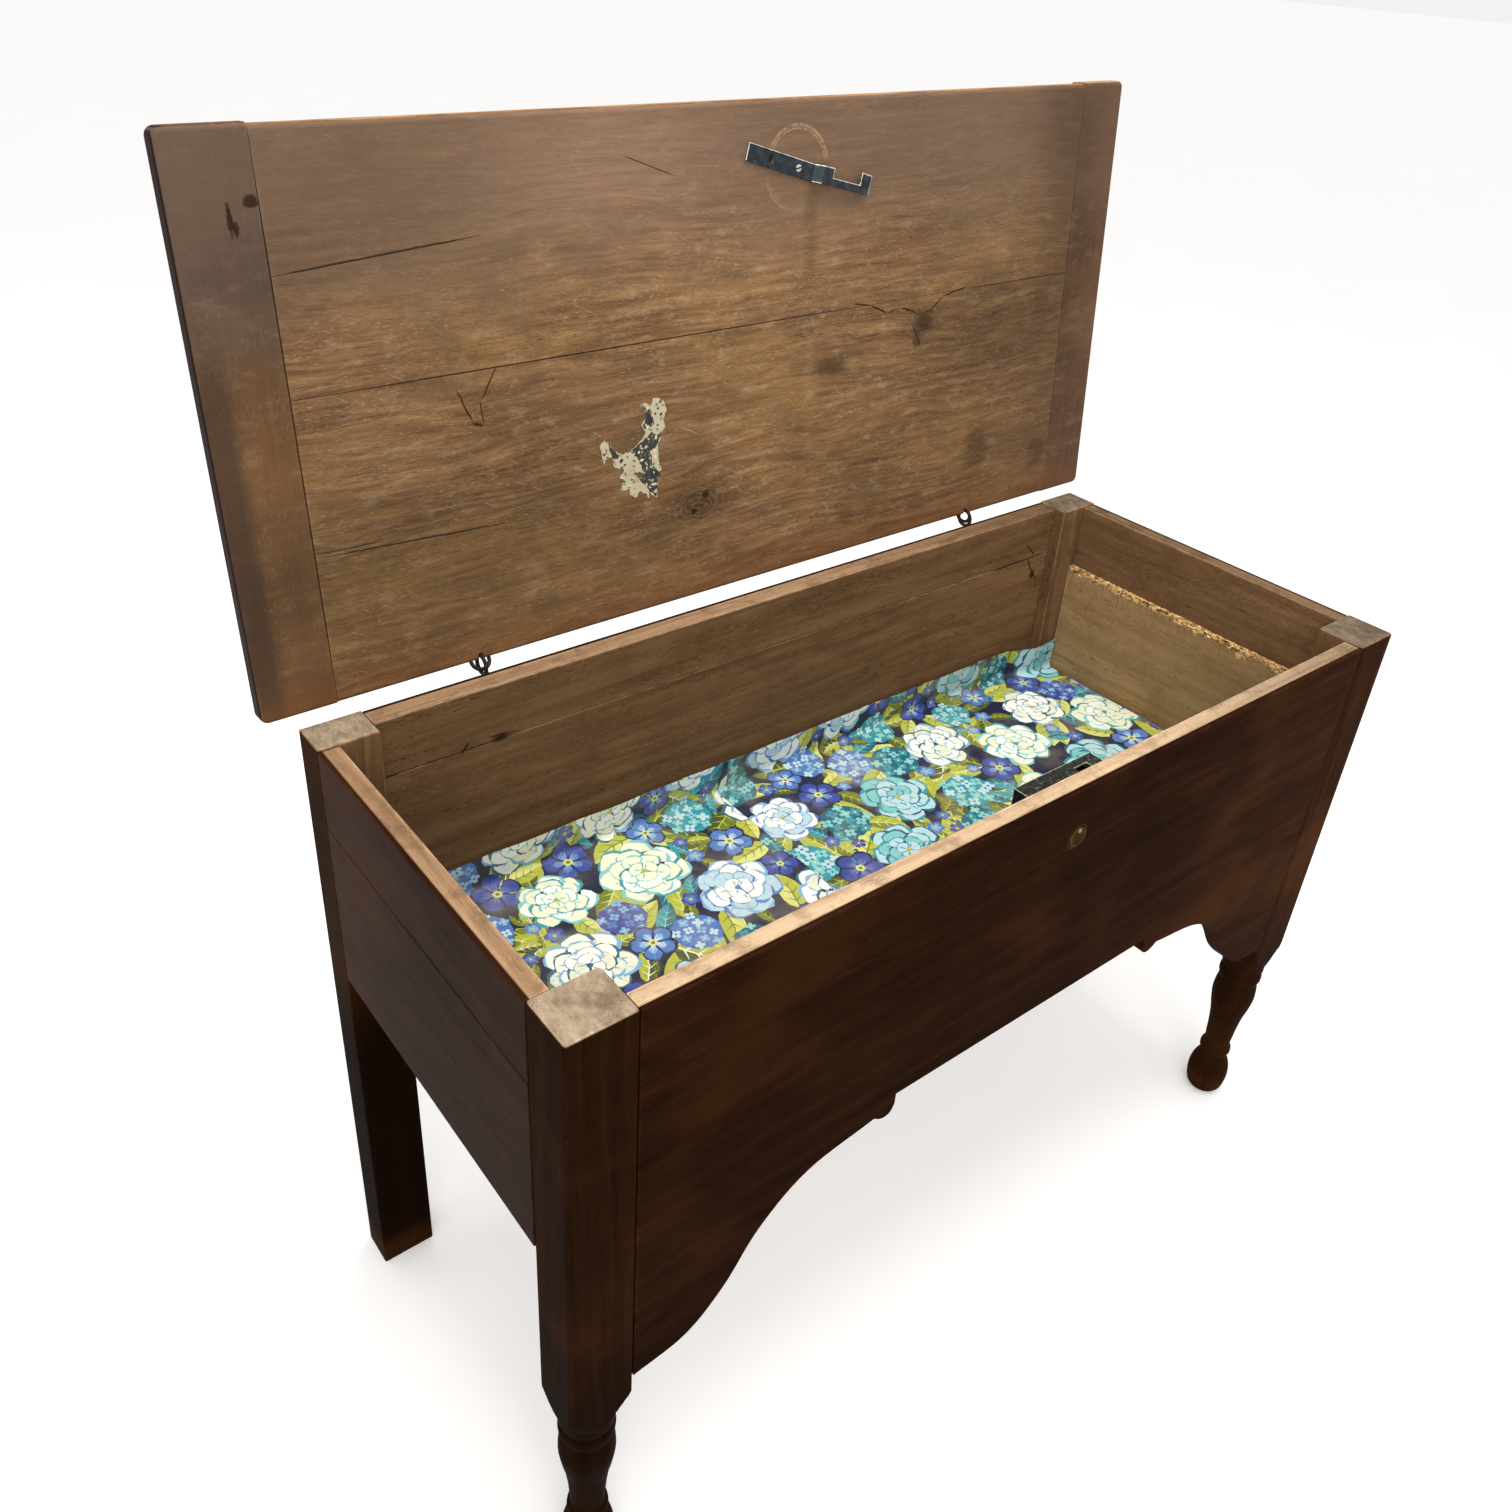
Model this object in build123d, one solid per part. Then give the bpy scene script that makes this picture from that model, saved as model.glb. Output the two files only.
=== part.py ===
from build123d import *
import math
import os

# Sugar chest: a frame-and-board chest on legs, modelled with its lid open.
# X runs along the length, Y from the front to the back and Z up. All sizes are in millimetres.

# --- Case -------------------------------------------------------------------------------------
case_length = 1100.0        # over the posts
case_depth = 475.0          # over the posts
case_height = 742.0         # floor to the tops of the posts
rim_drop = 1.7              # the boards' top edges lie this far below the posts' end grain
front_thickness = 22.0
side_thickness = 22.0
thick_side_thickness = 29.0  # the right lower board stands proud inwards
back_thickness = 28.0
panel_depth = 280.0         # post tops to the straight lower edge of the boards
joint_gap = 0.4             # shrinkage gap at shoulders and seams

# --- Posts ------------------------------------------------------------------------------------
front_post_width = 64.0     # along X
front_post_depth = 55.0     # along Y
rear_post_width = 62.0
rear_post_depth = 44.0
post_arris = 2.5            # rounding of the posts' outer corners
foot_chamfer = 2.0          # worn lower edges of the rear legs
end_grain_chamfer = 1.0

# --- Tongues and mortises ---------------------------------------------------------------------
tongue_length = 20.0
tongue_thickness = 12.0
haunch = 14.0               # a tongue stops this far short of the board's free edge

# --- Turned front legs, heights above the floor -----------------------------------------------
foot_flat_radius = 15.0
ball_radius = 26.5
ball_height = 31.0
ball_top = 64.0
neck_radius = 17.0
ring_radius = 20.4
ring_bottom = 69.0
ring_top = 84.0
ankle_radius = 17.5
ankle_height = 98.0
knee_radius = 21.6
knee_height = 142.0
vase_radius = 27.0
vase_height = 174.0
groove_radius = 24.6
groove_height = 205.0
bead_radius = 27.2
bead_top = 226.0
collar_radius = 26.8
collar_top = 240.0
square_start = 272.0        # the square section starts here
groove_land = 2.0           # short flats on each side of the bead

# --- Front --------------------------------------------------------------------------------------
front_rail_depth = 74.0     # post tops to the seam of the front
arch_foot = 170.0           # the apron's foot at the post reaches this far below its straight edge
arch_reach = 296.0          # from the post to the cusp
cusp_step = 17.5            # the cusp hangs this far below the straight edge
cusp_drop = 7.0             # its rounded nose reaches this much lower
cusp_width = 26.0

# --- Seams --------------------------------------------------------------------------------------
back_seam = 65.0            # below the post tops
side_seam = 87.0

# --- Bottom -------------------------------------------------------------------------------------
bottom_thickness = 16.0
bottom_board_count = 3
bottom_clearance = 1.0      # round the bottom boards
cleat_width = 20.0
cleat_height = 16.0         # the cleats stand level with the boards' lower edges
nail_radius = 1.6
nail_length = 34.0
nail_head_radius = 4.0
nail_head_thickness = 1.0
nail_hole_clearance = 0.1
nail_end_margin = 60.0      # from a cleat's end to its first nail

# --- Paper liner --------------------------------------------------------------------------------
paper_thickness = 0.8
paper_margin = 3.0          # from the front and the side walls
paper_upstand = 38.0        # turned up against the back
paper_split = 70.0          # the joint between the two sheets, to the left of the middle
paper_joint = 1.0

# --- Lid ----------------------------------------------------------------------------------------
lid_end_overhang = 28.0
lid_front_overhang = 29.0
lid_rear_overhang = 8.0
lid_thickness = 22.0
lid_gap = 1.4               # the closed lid's clearance over the posts
lid_seam = 292.0            # from the lid's rear edge
breadboard_width = 73.0
lid_front_recess = 1.6      # the boards lie back from the ends of the cross pieces
lid_rear_recess = 1.0
lid_tongue_length = 14.0
lid_tongue_thickness = 8.0
lid_edge_radius = 5.0
lid_corner_radius = 8.0
lid_open_angle = 95.3

# --- Snipe hinges -------------------------------------------------------------------------------
hinge_inset = 197.0         # from the case's ends
hinge_axis_back = 12.0      # behind the case
hinge_axis_up = 1.5         # above the post tops
eye_radius = 9.9            # to the wire's centre line
eye_wire_radius = 2.1
case_eye_shift = 0.4        # the case's eye hangs this far behind the axis
lid_eye_shift = 5.2         # from the axis to the middle of the lid's eye
lid_eye_slope = 37.0        # the lid's shank rises through the board
case_eye_slope = 27.0       # the case's shank falls into the board
shank_radius = 2.4
case_shank_depth = 20.0     # in the back board
clinch_radius = 1.7
clinch_length = 15.0
clinch_clearance = 0.05
eye_fit = 0.15              # round the iron in the wood
eye_swing_clearance = 0.5

# --- Strap --------------------------------------------------------------------------------------
strap_thickness = 2.5
strap_width = 17.6
strap_left = 70.0           # from the pivot
strap_right = 97.5
strap_gap = 0.2             # to the lid
strap_pivot_x = 55.5        # from the middle of the chest
strap_pivot_front = 68.0    # from the lid's front edge
strap_slope = 16.5          # the hooked end lies towards the hinges
strap_offset = 7.0          # height of the offset bend
strap_bend_start = 21.0
strap_bend_end = 30.0
arm_rise = 3.2              # the hooked end turns this much towards the lid's front edge
hook_start = 43.5
hook_end = 83.0
hook_floor = 0.5            # the bottom of the hook's notch, above the strap's middle
prong_rise = 2.8            # the end prong stands this much over the strap's edge
empty_hole_left = 38.0
screw_radius = 2.5
screw_head_radius = 4.9
screw_length = 17.0
screw_turning_clearance = 0.05
straight_share = 0.3        # of the strap's thickness, below a countersink

# --- Lock ---------------------------------------------------------------------------------------
lock_length = 109.0
lock_height = 80.0
lock_depth = 29.5
lock_middle_x = 24.0
lock_top = 18.0             # below the post tops
lock_wall = 2.0
lock_screw_radius = 2.0
lock_screw_head_radius = 4.5
lock_screw_head = 2.0
lock_screw_margin = 9.0
lock_screw_in_wood = 14.0
lock_hole_clearance = 0.1
bolt_start = 2.5            # the bolt's tail, from the middle of the chest
bolt_length = 40.0
bolt_height = 13.0
bolt_thickness = 8.0
bolt_over_key = 12.0        # the bolt's middle lies this far above the key's axis
hasp_slot_gap = 2.0         # from the drawn-back bolt to the slot for the hasp
hasp_slot_length = 18.0
hasp_slot_width = 8.0
bolt_clearance = 0.3
bolt_talon_width = 9.0
bolt_talon_depth = 4.0
guide_width = 9.0
guide_wall = 3.0
key_pin_radius = 2.0
ward_radius = 5.6
ward_thickness = 1.0
ward_depth = 5.0
spring_thickness = 0.8
spring_width = 6.0
spring_length = 38.0
spring_foot = 8.0
spring_start = 3.0          # from the lock's left end wall

# --- Keyhole ------------------------------------------------------------------------------------
keyhole_x = 15.6
keyhole_depth = 51.0        # the round of the keyhole, below the post tops
keyhole_radius = 3.4
keyhole_slot_width = 3.6
keyhole_slot_length = 13.0
plate_x = 10.0
plate_depth = 59.0          # the plate's middle, below the post tops
plate_radius = 14.0
plate_thickness = 1.6
cover_radius = 10.5
cover_thickness = 1.2
cover_gap = 0.3
cover_pin_radius = 1.2
cover_pin_head_radius = 2.2
cover_pin_head = 0.8
cover_pin_above = 8.0       # above the plate's middle
cover_knob_radius = 1.6
cover_knob_height = 1.6
cover_knob_below = 6.5
plate_pin_radius = 0.9

# --- Places that follow from the sizes ----------------------------------------------------------
half_length = case_length / 2
front_post_face = half_length - front_post_width
rear_post_face = half_length - rear_post_width
rear_post_front = case_depth - rear_post_depth
back_inner = case_depth - back_thickness
rim = case_height - rim_drop
panel_bottom = case_height - panel_depth
front_seam_height = case_height - front_rail_depth
back_seam_height = case_height - back_seam
side_seam_height = case_height - side_seam
floor_bottom = panel_bottom + cleat_height
floor_top = floor_bottom + bottom_thickness
hinge_y = case_depth + hinge_axis_back
hinge_z = case_height + hinge_axis_up
hinge_x = half_length - hinge_inset
lid_underside = case_height + lid_gap
lid_top = lid_underside + lid_thickness
lid_front_edge = -lid_front_overhang
lid_rear_edge = case_depth + lid_rear_overhang
lid_half_length = half_length + lid_end_overhang
breadboard_face = lid_half_length - breadboard_width
lock_inner = front_thickness + lock_depth
key_height = case_height - keyhole_depth
plate_height = case_height - plate_depth
bolt_end = bolt_start + bolt_length

parts = {}


# --- Helpers ------------------------------------------------------------------------------------
def block(x_span, y_span, z_span):
    """A rectangular piece between the given coordinates."""
    spans = (x_span, y_span, z_span)
    size = [abs(high - low) for low, high in spans]
    middle = [(high + low) / 2 for low, high in spans]
    return Pos(*middle) * Box(*size)


def rod(start, direction, radius, length):
    """A round bar from a point along a direction."""
    bar = Cylinder(radius, length, align=(Align.CENTER, Align.CENTER, Align.MIN))
    return Plane(origin=start, z_dir=direction) * bar


def ring(middle, normal, radius, wire_radius):
    """An eye of round wire."""
    return Plane(origin=middle, z_dir=normal) * Torus(radius, wire_radius)


def only_solid(shape):
    """The one solid of a shape, so that each simple node holds exactly one."""
    solids = shape.solids()
    assert len(solids) == 1
    return solids[0]


def keyhole(y_span):
    """The keyhole's opening: a round with a slot below it."""
    low, high = y_span
    hole = rod((keyhole_x, low, key_height), (0, 1, 0), keyhole_radius, high - low)
    half_slot = keyhole_slot_width / 2
    return hole + block((keyhole_x - half_slot, keyhole_x + half_slot), y_span,
                        (key_height - keyhole_slot_length, key_height))


# --- Posts --------------------------------------------------------------------------------------
def leg_turning():
    """The solid that the lathe leaves of a front post's blank, round the Z axis."""
    half_diagonal = math.hypot(front_post_width, front_post_depth) / 2 + 1
    above = case_height + 1
    outline = [
        Line((0, 0), (foot_flat_radius, 0)),
        Spline((foot_flat_radius, 0), (ball_radius, ball_height), (neck_radius, ball_top),
               tangents=((1, 0.45), (-0.5, 0.75))),
        Line((neck_radius, ball_top), (neck_radius, ring_bottom)),
        ThreePointArc((neck_radius, ring_bottom), (ring_radius, (ring_bottom + ring_top) / 2),
                      (ankle_radius, ring_top)),
        Spline((ankle_radius, ring_top), (ankle_radius, ankle_height), (knee_radius, knee_height),
               (vase_radius, vase_height), (groove_radius, groove_height)),
        Line((groove_radius, groove_height), (groove_radius, groove_height + groove_land)),
        ThreePointArc((groove_radius, groove_height + groove_land),
                      (bead_radius, (groove_height + groove_land + bead_top) / 2),
                      (groove_radius, bead_top)),
        Line((groove_radius, bead_top), (groove_radius, bead_top + groove_land)),
        Line((groove_radius, bead_top + groove_land), (collar_radius, bead_top + 2 * groove_land)),
        Line((collar_radius, bead_top + 2 * groove_land), (collar_radius, collar_top)),
        Spline((collar_radius, collar_top), (half_diagonal, square_start),
               tangents=((0.35, 1), (1, 0.75))),
        Line((half_diagonal, square_start), (half_diagonal, above)),
        Line((half_diagonal, above), (0, above)),
        Line((0, above), (0, 0)),
    ]
    return revolve(Plane.XZ * make_face(outline), axis=Axis.Z)


def post_blank(x_span, y_span, outer_x, outer_y):
    """A square post with its outer corner rounded and its end grain eased."""
    blank = block(x_span, y_span, (0, case_height))
    corner = blank.edges().filter_by(Axis.Z).sort_by_distance((outer_x, outer_y, case_height / 2))
    blank = fillet(corner[0], post_arris)
    top_edges = blank.faces().sort_by(Axis.Z)[-1].edges()
    return chamfer(top_edges, end_grain_chamfer)


def front_post(side):
    x_span = (side * front_post_face, side * half_length)
    blank = post_blank(x_span, (0, front_post_depth), side * half_length, 0)
    turning = Pos(sum(x_span) / 2, front_post_depth / 2, 0) * leg_turning()
    return blank & turning


def rear_post(side):
    x_span = (side * rear_post_face, side * half_length)
    blank = post_blank(x_span, (rear_post_front, case_depth), side * half_length, case_depth)
    foot_edges = blank.faces().sort_by(Axis.Z)[0].edges()
    return chamfer(foot_edges, foot_chamfer)


# --- Boards with tongues ------------------------------------------------------------------------
def end_tongue(side, post_face, y_span, z_span):
    """The tongue of a front or back board, and the mortise that it fills."""
    middle = sum(y_span) / 2
    return block((side * (post_face - joint_gap), side * (post_face + tongue_length)),
                 (middle - tongue_thickness / 2, middle + tongue_thickness / 2), z_span)


def side_tongues(side, z_span):
    """Both tongues of a side board, and the mortises that they fill."""
    outer = half_length - (side_thickness - tongue_thickness) / 2
    x_span = (side * (outer - tongue_thickness), side * outer)
    front = block(x_span, (front_post_depth - tongue_length, front_post_depth + joint_gap), z_span)
    rear = block(x_span, (rear_post_front - joint_gap, rear_post_front + tongue_length), z_span)
    return front, rear


def long_board(post_face, y_span, z_span, tongue_z_span):
    board = block((joint_gap - post_face, post_face - joint_gap), y_span, z_span)
    for side in (-1, 1):
        board += end_tongue(side, post_face, y_span, tongue_z_span)
    return board


def side_board(side, thickness, z_span, tongue_z_span):
    y_span = (front_post_depth + joint_gap, rear_post_front - joint_gap)
    board = block((side * (half_length - thickness), side * half_length), y_span, z_span)
    for tongue in side_tongues(side, tongue_z_span):
        board += tongue
    return board


def arch_edge(side):
    """The apron's curved lower edge at one end, from the post to the straight part."""
    def point(across, below):
        return (side * (front_post_face - joint_gap - across), panel_bottom - below)

    def along(share_across, share_below):
        return point(share_across * arch_reach, share_below * arch_foot)

    nose_top = point(arch_reach, cusp_step / 2)
    curve = Spline(point(0, arch_foot), along(0.19, 0.945), along(0.33, 0.74), along(0.46, 0.42),
                   along(0.64, 0.19), point(arch_reach - cusp_width, cusp_step))
    nose = ThreePointArc(point(arch_reach - cusp_width, cusp_step),
                         point(arch_reach - cusp_width * 0.42, cusp_step + cusp_drop), nose_top)
    rise = Line(nose_top, point(arch_reach, 0))
    return [curve, nose, rise]


def apron_panel():
    """The wide front board with the arch cut in its lower edge."""
    end = front_post_face - joint_gap
    top = front_seam_height - joint_gap
    outline = arch_edge(-1) + arch_edge(1) + [
        Line((arch_reach - end, panel_bottom), (end - arch_reach, panel_bottom)),
        Line((-end, panel_bottom - arch_foot), (-end, top)),
        Line((-end, top), (end, top)),
        Line((end, top), (end, panel_bottom - arch_foot)),
    ]
    panel = extrude(Plane.XZ * make_face(outline), -front_thickness)
    for side in (-1, 1):
        panel += end_tongue(side, front_post_face, (0, front_thickness), apron_tongue)
    return panel


rail_tongue = (front_seam_height, rim - haunch)
apron_tongue = (panel_bottom - arch_foot + haunch, front_seam_height - joint_gap)
back_upper_tongue = (back_seam_height, rim - haunch)
back_lower_tongue = (panel_bottom + haunch, back_seam_height - joint_gap)
side_upper_tongue = (side_seam_height, rim - haunch)
side_lower_tongue = (panel_bottom + haunch, side_seam_height - joint_gap)


def make_case_frame():
    parts["front_top_rail"] = long_board(front_post_face, (0, front_thickness),
                                         (front_seam_height, rim), rail_tongue)
    parts["front_apron_panel"] = apron_panel()
    parts["back_upper_board"] = long_board(rear_post_face, (back_inner, case_depth),
                                           (back_seam_height, rim), back_upper_tongue)
    parts["back_lower_board"] = long_board(rear_post_face, (back_inner, case_depth),
                                           (panel_bottom, back_seam_height - joint_gap),
                                           back_lower_tongue)
    for name, side, lower_thickness in (("left", -1, side_thickness),
                                        ("right", 1, thick_side_thickness)):
        parts[f"{name}_side_upper_board"] = side_board(side, side_thickness,
                                                       (side_seam_height, rim), side_upper_tongue)
        parts[f"{name}_side_lower_board"] = side_board(side, lower_thickness,
                                                       (panel_bottom, side_seam_height - joint_gap),
                                                       side_lower_tongue)
        front = front_post(side)
        rear = rear_post(side)
        for z_span in (rail_tongue, apron_tongue):
            front -= end_tongue(side, front_post_face, (0, front_thickness), z_span)
        for z_span in (back_upper_tongue, back_lower_tongue):
            rear -= end_tongue(side, rear_post_face, (back_inner, case_depth), z_span)
        for z_span in (side_upper_tongue, side_lower_tongue):
            front_mortise, rear_mortise = side_tongues(side, z_span)
            front -= front_mortise
            rear -= rear_mortise
        parts[f"front_{name}_post"] = front
        parts[f"rear_{name}_post"] = rear


# --- Bottom -------------------------------------------------------------------------------------
def clear_of_posts(piece, clearance):
    """Notches a bottom piece round the four posts."""
    for side in (-1, 1):
        outside = side * (half_length + 1)
        piece -= block((side * (front_post_face - clearance), outside),
                       (-1, front_post_depth + clearance), (0, case_height))
        piece -= block((side * (rear_post_face - clearance), outside),
                       (rear_post_front - clearance, case_depth + 1), (0, case_height))
    return piece


def make_bottom():
    left = side_thickness + bottom_clearance - half_length
    right = half_length - thick_side_thickness - bottom_clearance
    front = front_thickness + bottom_clearance
    board_width = (back_inner - bottom_clearance - front) / bottom_board_count
    for index in range(bottom_board_count):
        y_start = front + index * board_width
        board = block((left, right), (y_start, y_start + board_width - joint_gap),
                      (floor_bottom, floor_top))
        parts[f"bottom_board_{index + 1}"] = clear_of_posts(board, bottom_clearance)


def nail(start, direction):
    """A cut nail with a flat head, driven from a cleat's face."""
    head = rod(start, tuple(-value for value in direction), nail_head_radius, nail_head_thickness)
    return head + rod(start, direction, nail_radius, nail_length)


def make_cleats():
    """Cleats on the inner faces of the boards, with their nails in one group."""
    z_span = (panel_bottom, floor_bottom)
    middle_z = sum(z_span) / 2
    long_end = front_post_face - joint_gap
    side_span = (front_post_depth + joint_gap, rear_post_front - joint_gap)
    right_wall = half_length - thick_side_thickness
    left_wall = side_thickness - half_length
    cleats = {
        "front_cleat": block((-long_end, long_end),
                             (front_thickness, front_thickness + cleat_width), z_span),
        "back_cleat": block((-long_end, long_end), (back_inner - cleat_width, back_inner), z_span),
        "left_cleat": block((left_wall, left_wall + cleat_width), side_span, z_span),
        "right_cleat": block((right_wall - cleat_width, right_wall), side_span, z_span),
    }
    long_places = [-long_end + nail_end_margin, 0, long_end - nail_end_margin]
    side_places = [side_span[0] + nail_end_margin, sum(side_span) / 2,
                   side_span[1] - nail_end_margin]
    nails = []
    nails += [("front_cleat", "front_apron_panel", (x, front_thickness + cleat_width, middle_z),
               (0, -1, 0)) for x in long_places]
    nails += [("back_cleat", "back_lower_board", (x, back_inner - cleat_width, middle_z),
               (0, 1, 0)) for x in long_places]
    nails += [("left_cleat", "left_side_lower_board", (left_wall + cleat_width, y, middle_z),
               (-1, 0, 0)) for y in side_places]
    nails += [("right_cleat", "right_side_lower_board", (right_wall - cleat_width, y, middle_z),
               (1, 0, 0)) for y in side_places]
    group = []
    for cleat, board, start, direction in nails:
        hole = rod(start, direction, nail_radius + nail_hole_clearance,
                   nail_length + nail_hole_clearance)
        cleats[cleat] -= hole
        parts[board] -= hole
        group.append(only_solid(nail(start, direction)))
    parts.update(cleats)
    parts["cleat_nails"] = Compound(children=group)


def paper_sheet(x_span):
    """One sheet of the liner: flat on the bottom and turned up against the back."""
    rear = back_inner
    sheet = block(x_span, (front_thickness + paper_margin, rear),
                  (floor_top, floor_top + paper_thickness))
    sheet += block(x_span, (rear - paper_thickness, rear), (floor_top, floor_top + paper_upstand))
    return only_solid(clear_of_posts(sheet, paper_margin))


def make_paper():
    left = side_thickness + paper_margin - half_length
    right = half_length - thick_side_thickness - paper_margin
    parts["paper_liner_left"] = paper_sheet((left, -paper_split - paper_joint))
    parts["paper_liner_right"] = paper_sheet((-paper_split, right))


# --- Lid, made closed and then opened about the hinge axis ---------------------------------------
hinge_axis = Axis((0, hinge_y, hinge_z), (1, 0, 0))


def opened(shape):
    return shape.rotate(hinge_axis, -lid_open_angle)


def lid_board(y_span, edge_y):
    """A lid board with a tongue at each end and its free edge rounded."""
    end = breadboard_face - joint_gap
    board = block((-end, end), y_span, (lid_underside, lid_top))
    free_edges = [edge for edge in board.edges().filter_by(Axis.X)
                  if abs(edge.center().Y - edge_y) < 0.01]
    board = fillet(free_edges, lid_edge_radius)
    middle = (lid_underside + lid_top) / 2
    for side in (-1, 1):
        board += lid_tongue(side, y_span, middle)
    return board


def lid_tongue(side, y_span, middle):
    """A tongue that stops short of the lid's front and rear edges."""
    low = max(y_span[0], lid_front_edge + haunch)
    high = min(y_span[1], lid_rear_edge - haunch)
    x_span = (side * (breadboard_face - joint_gap), side * (breadboard_face + lid_tongue_length))
    half = lid_tongue_thickness / 2
    return block(x_span, (low, high), (middle - half, middle + half))


def breadboard(side):
    """A cross piece at the lid's end, grooved over the boards' tongues."""
    piece = block((side * breadboard_face, side * lid_half_length), (lid_front_edge, lid_rear_edge),
                  (lid_underside, lid_top))
    corners = piece.edges().filter_by(Axis.Z).sort_by(Axis.X)
    piece = fillet(corners[-2:] if side > 0 else corners[:2], lid_corner_radius)
    rounded = []
    for face in (piece.faces().sort_by(Axis.Z)[0], piece.faces().sort_by(Axis.Z)[-1]):
        inner = face.edges().filter_by(Axis.Y).sort_by_distance((side * breadboard_face, 0, 0))[0]
        rounded += [edge for edge in face.edges() if edge != inner]
    piece = fillet(rounded, lid_edge_radius)
    middle = (lid_underside + lid_top) / 2
    return piece - lid_tongue(side, (lid_front_edge, lid_rear_edge), middle)


def lid_eye_direction():
    """From the hinge axis into the closed lid."""
    slope = math.radians(lid_eye_slope)
    return (0, -math.cos(slope), math.sin(slope))


def from_axis(x, direction, distance):
    """A point at a distance from the hinge axis."""
    return (x, hinge_y + distance * direction[1], hinge_z + distance * direction[2])


def lid_eye(x):
    """The lid's eye: its shank goes up through the board and is clinched on top."""
    along = lid_eye_direction()
    across = (0, -along[2], along[1])
    eye = ring(from_axis(x, along, lid_eye_shift), across, eye_radius, eye_wire_radius)
    clinch_height = lid_top + clinch_radius + clinch_clearance
    shank_end = (clinch_height - hinge_z) / along[2]
    shank_start = lid_eye_shift + eye_radius
    eye += rod(from_axis(x, along, shank_start), along, shank_radius, shank_end - shank_start)
    for side in (-1, 1):
        start = from_axis(x, along, shank_end)
        eye += rod(start, (side, 0, 0), clinch_radius, clinch_length)
        eye += Pos(start[0] + side * clinch_length, start[1], start[2]) * Sphere(clinch_radius)
    return only_solid(eye)


def lid_eye_pocket(x):
    """The slot that lets the eye into the lid's arris, the shank's hole, and the swing slot."""
    along = lid_eye_direction()
    across = (0, -along[2], along[1])
    half_slot = eye_wire_radius + eye_fit
    middle = from_axis(x, along, lid_eye_shift)
    start = tuple(middle[i] - half_slot * across[i] for i in range(3))
    pocket = rod(start, across, eye_radius + eye_wire_radius + eye_fit, 2 * half_slot)
    shank_start = lid_eye_shift + eye_radius
    pocket += rod(from_axis(x, along, shank_start), along, shank_radius + eye_fit,
                  2 * lid_thickness)
    half_swing = eye_wire_radius + eye_swing_clearance
    swing_radius = eye_radius + eye_wire_radius + case_eye_shift + eye_swing_clearance
    pocket += rod((x - half_swing, hinge_y, hinge_z), (1, 0, 0), swing_radius, 2 * half_swing)
    return pocket


def case_eye(x, clearance):
    """The case's eye, driven into the back; with a clearance, the hole for its shank."""
    slope = math.radians(case_eye_slope)
    along = (0, -math.cos(slope), -math.sin(slope))
    middle = (x, hinge_y + case_eye_shift, hinge_z)
    start = tuple(middle[i] + eye_radius * along[i] for i in range(3))
    to_wood = (middle[1] - case_depth) / math.cos(slope) - eye_radius
    shank = rod(start, along, shank_radius + clearance, to_wood + case_shank_depth + clearance)
    if clearance > 0:
        return shank
    return only_solid(shank + ring(middle, (1, 0, 0), eye_radius, eye_wire_radius))


def make_lid():
    front = lid_board((lid_front_edge + lid_front_recess, lid_rear_edge - lid_seam - joint_gap),
                      lid_front_edge + lid_front_recess)
    rear = lid_board((lid_rear_edge - lid_seam, lid_rear_edge - lid_rear_recess),
                     lid_rear_edge - lid_rear_recess)
    for name, side in (("left", -1), ("right", 1)):
        x = side * hinge_x
        rear -= lid_eye_pocket(x)
        parts["back_upper_board"] -= case_eye(x, eye_fit)
        parts[f"{name}_case_eye"] = case_eye(x, 0)
        parts[f"{name}_lid_eye"] = opened(lid_eye(x))
        parts[f"lid_{name}_breadboard"] = opened(breadboard(side))
    parts["lid_rear_board"] = opened(rear)
    parts["lid_front_board"] = opened(front - on_lid(screw_shank(nail_hole_clearance)))


# --- Strap, drawn flat round its pivot: X along it, Y to the lid's front edge, Z off the lid -----
def on_lid(shape):
    """Places a piece that is drawn at the pivot on the closed lid's underside."""
    pivot_y = lid_front_edge + strap_pivot_front
    return Pos(strap_pivot_x, pivot_y, lid_underside) * Rotation(180, 0, -strap_slope) * shape


def screw_shank(clearance):
    """The screw's shank in the lid."""
    return rod((0, 0, 0), (0, 0, -1), screw_radius + clearance, screw_length + clearance)


def countersink(x, radius, top_radius):
    """A hole through the strap with a countersink, as a solid."""
    bottom = strap_gap
    top = strap_gap + strap_thickness
    cone_start = bottom + strap_thickness * straight_share
    outline = Polyline((0, bottom - 1), (radius, bottom - 1), (radius, cone_start),
                       (top_radius, top), (top_radius, top + 1), (0, top + 1), close=True)
    return Pos(x, 0, 0) * revolve(Plane.XZ * make_face(outline), axis=Axis.Z)


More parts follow.
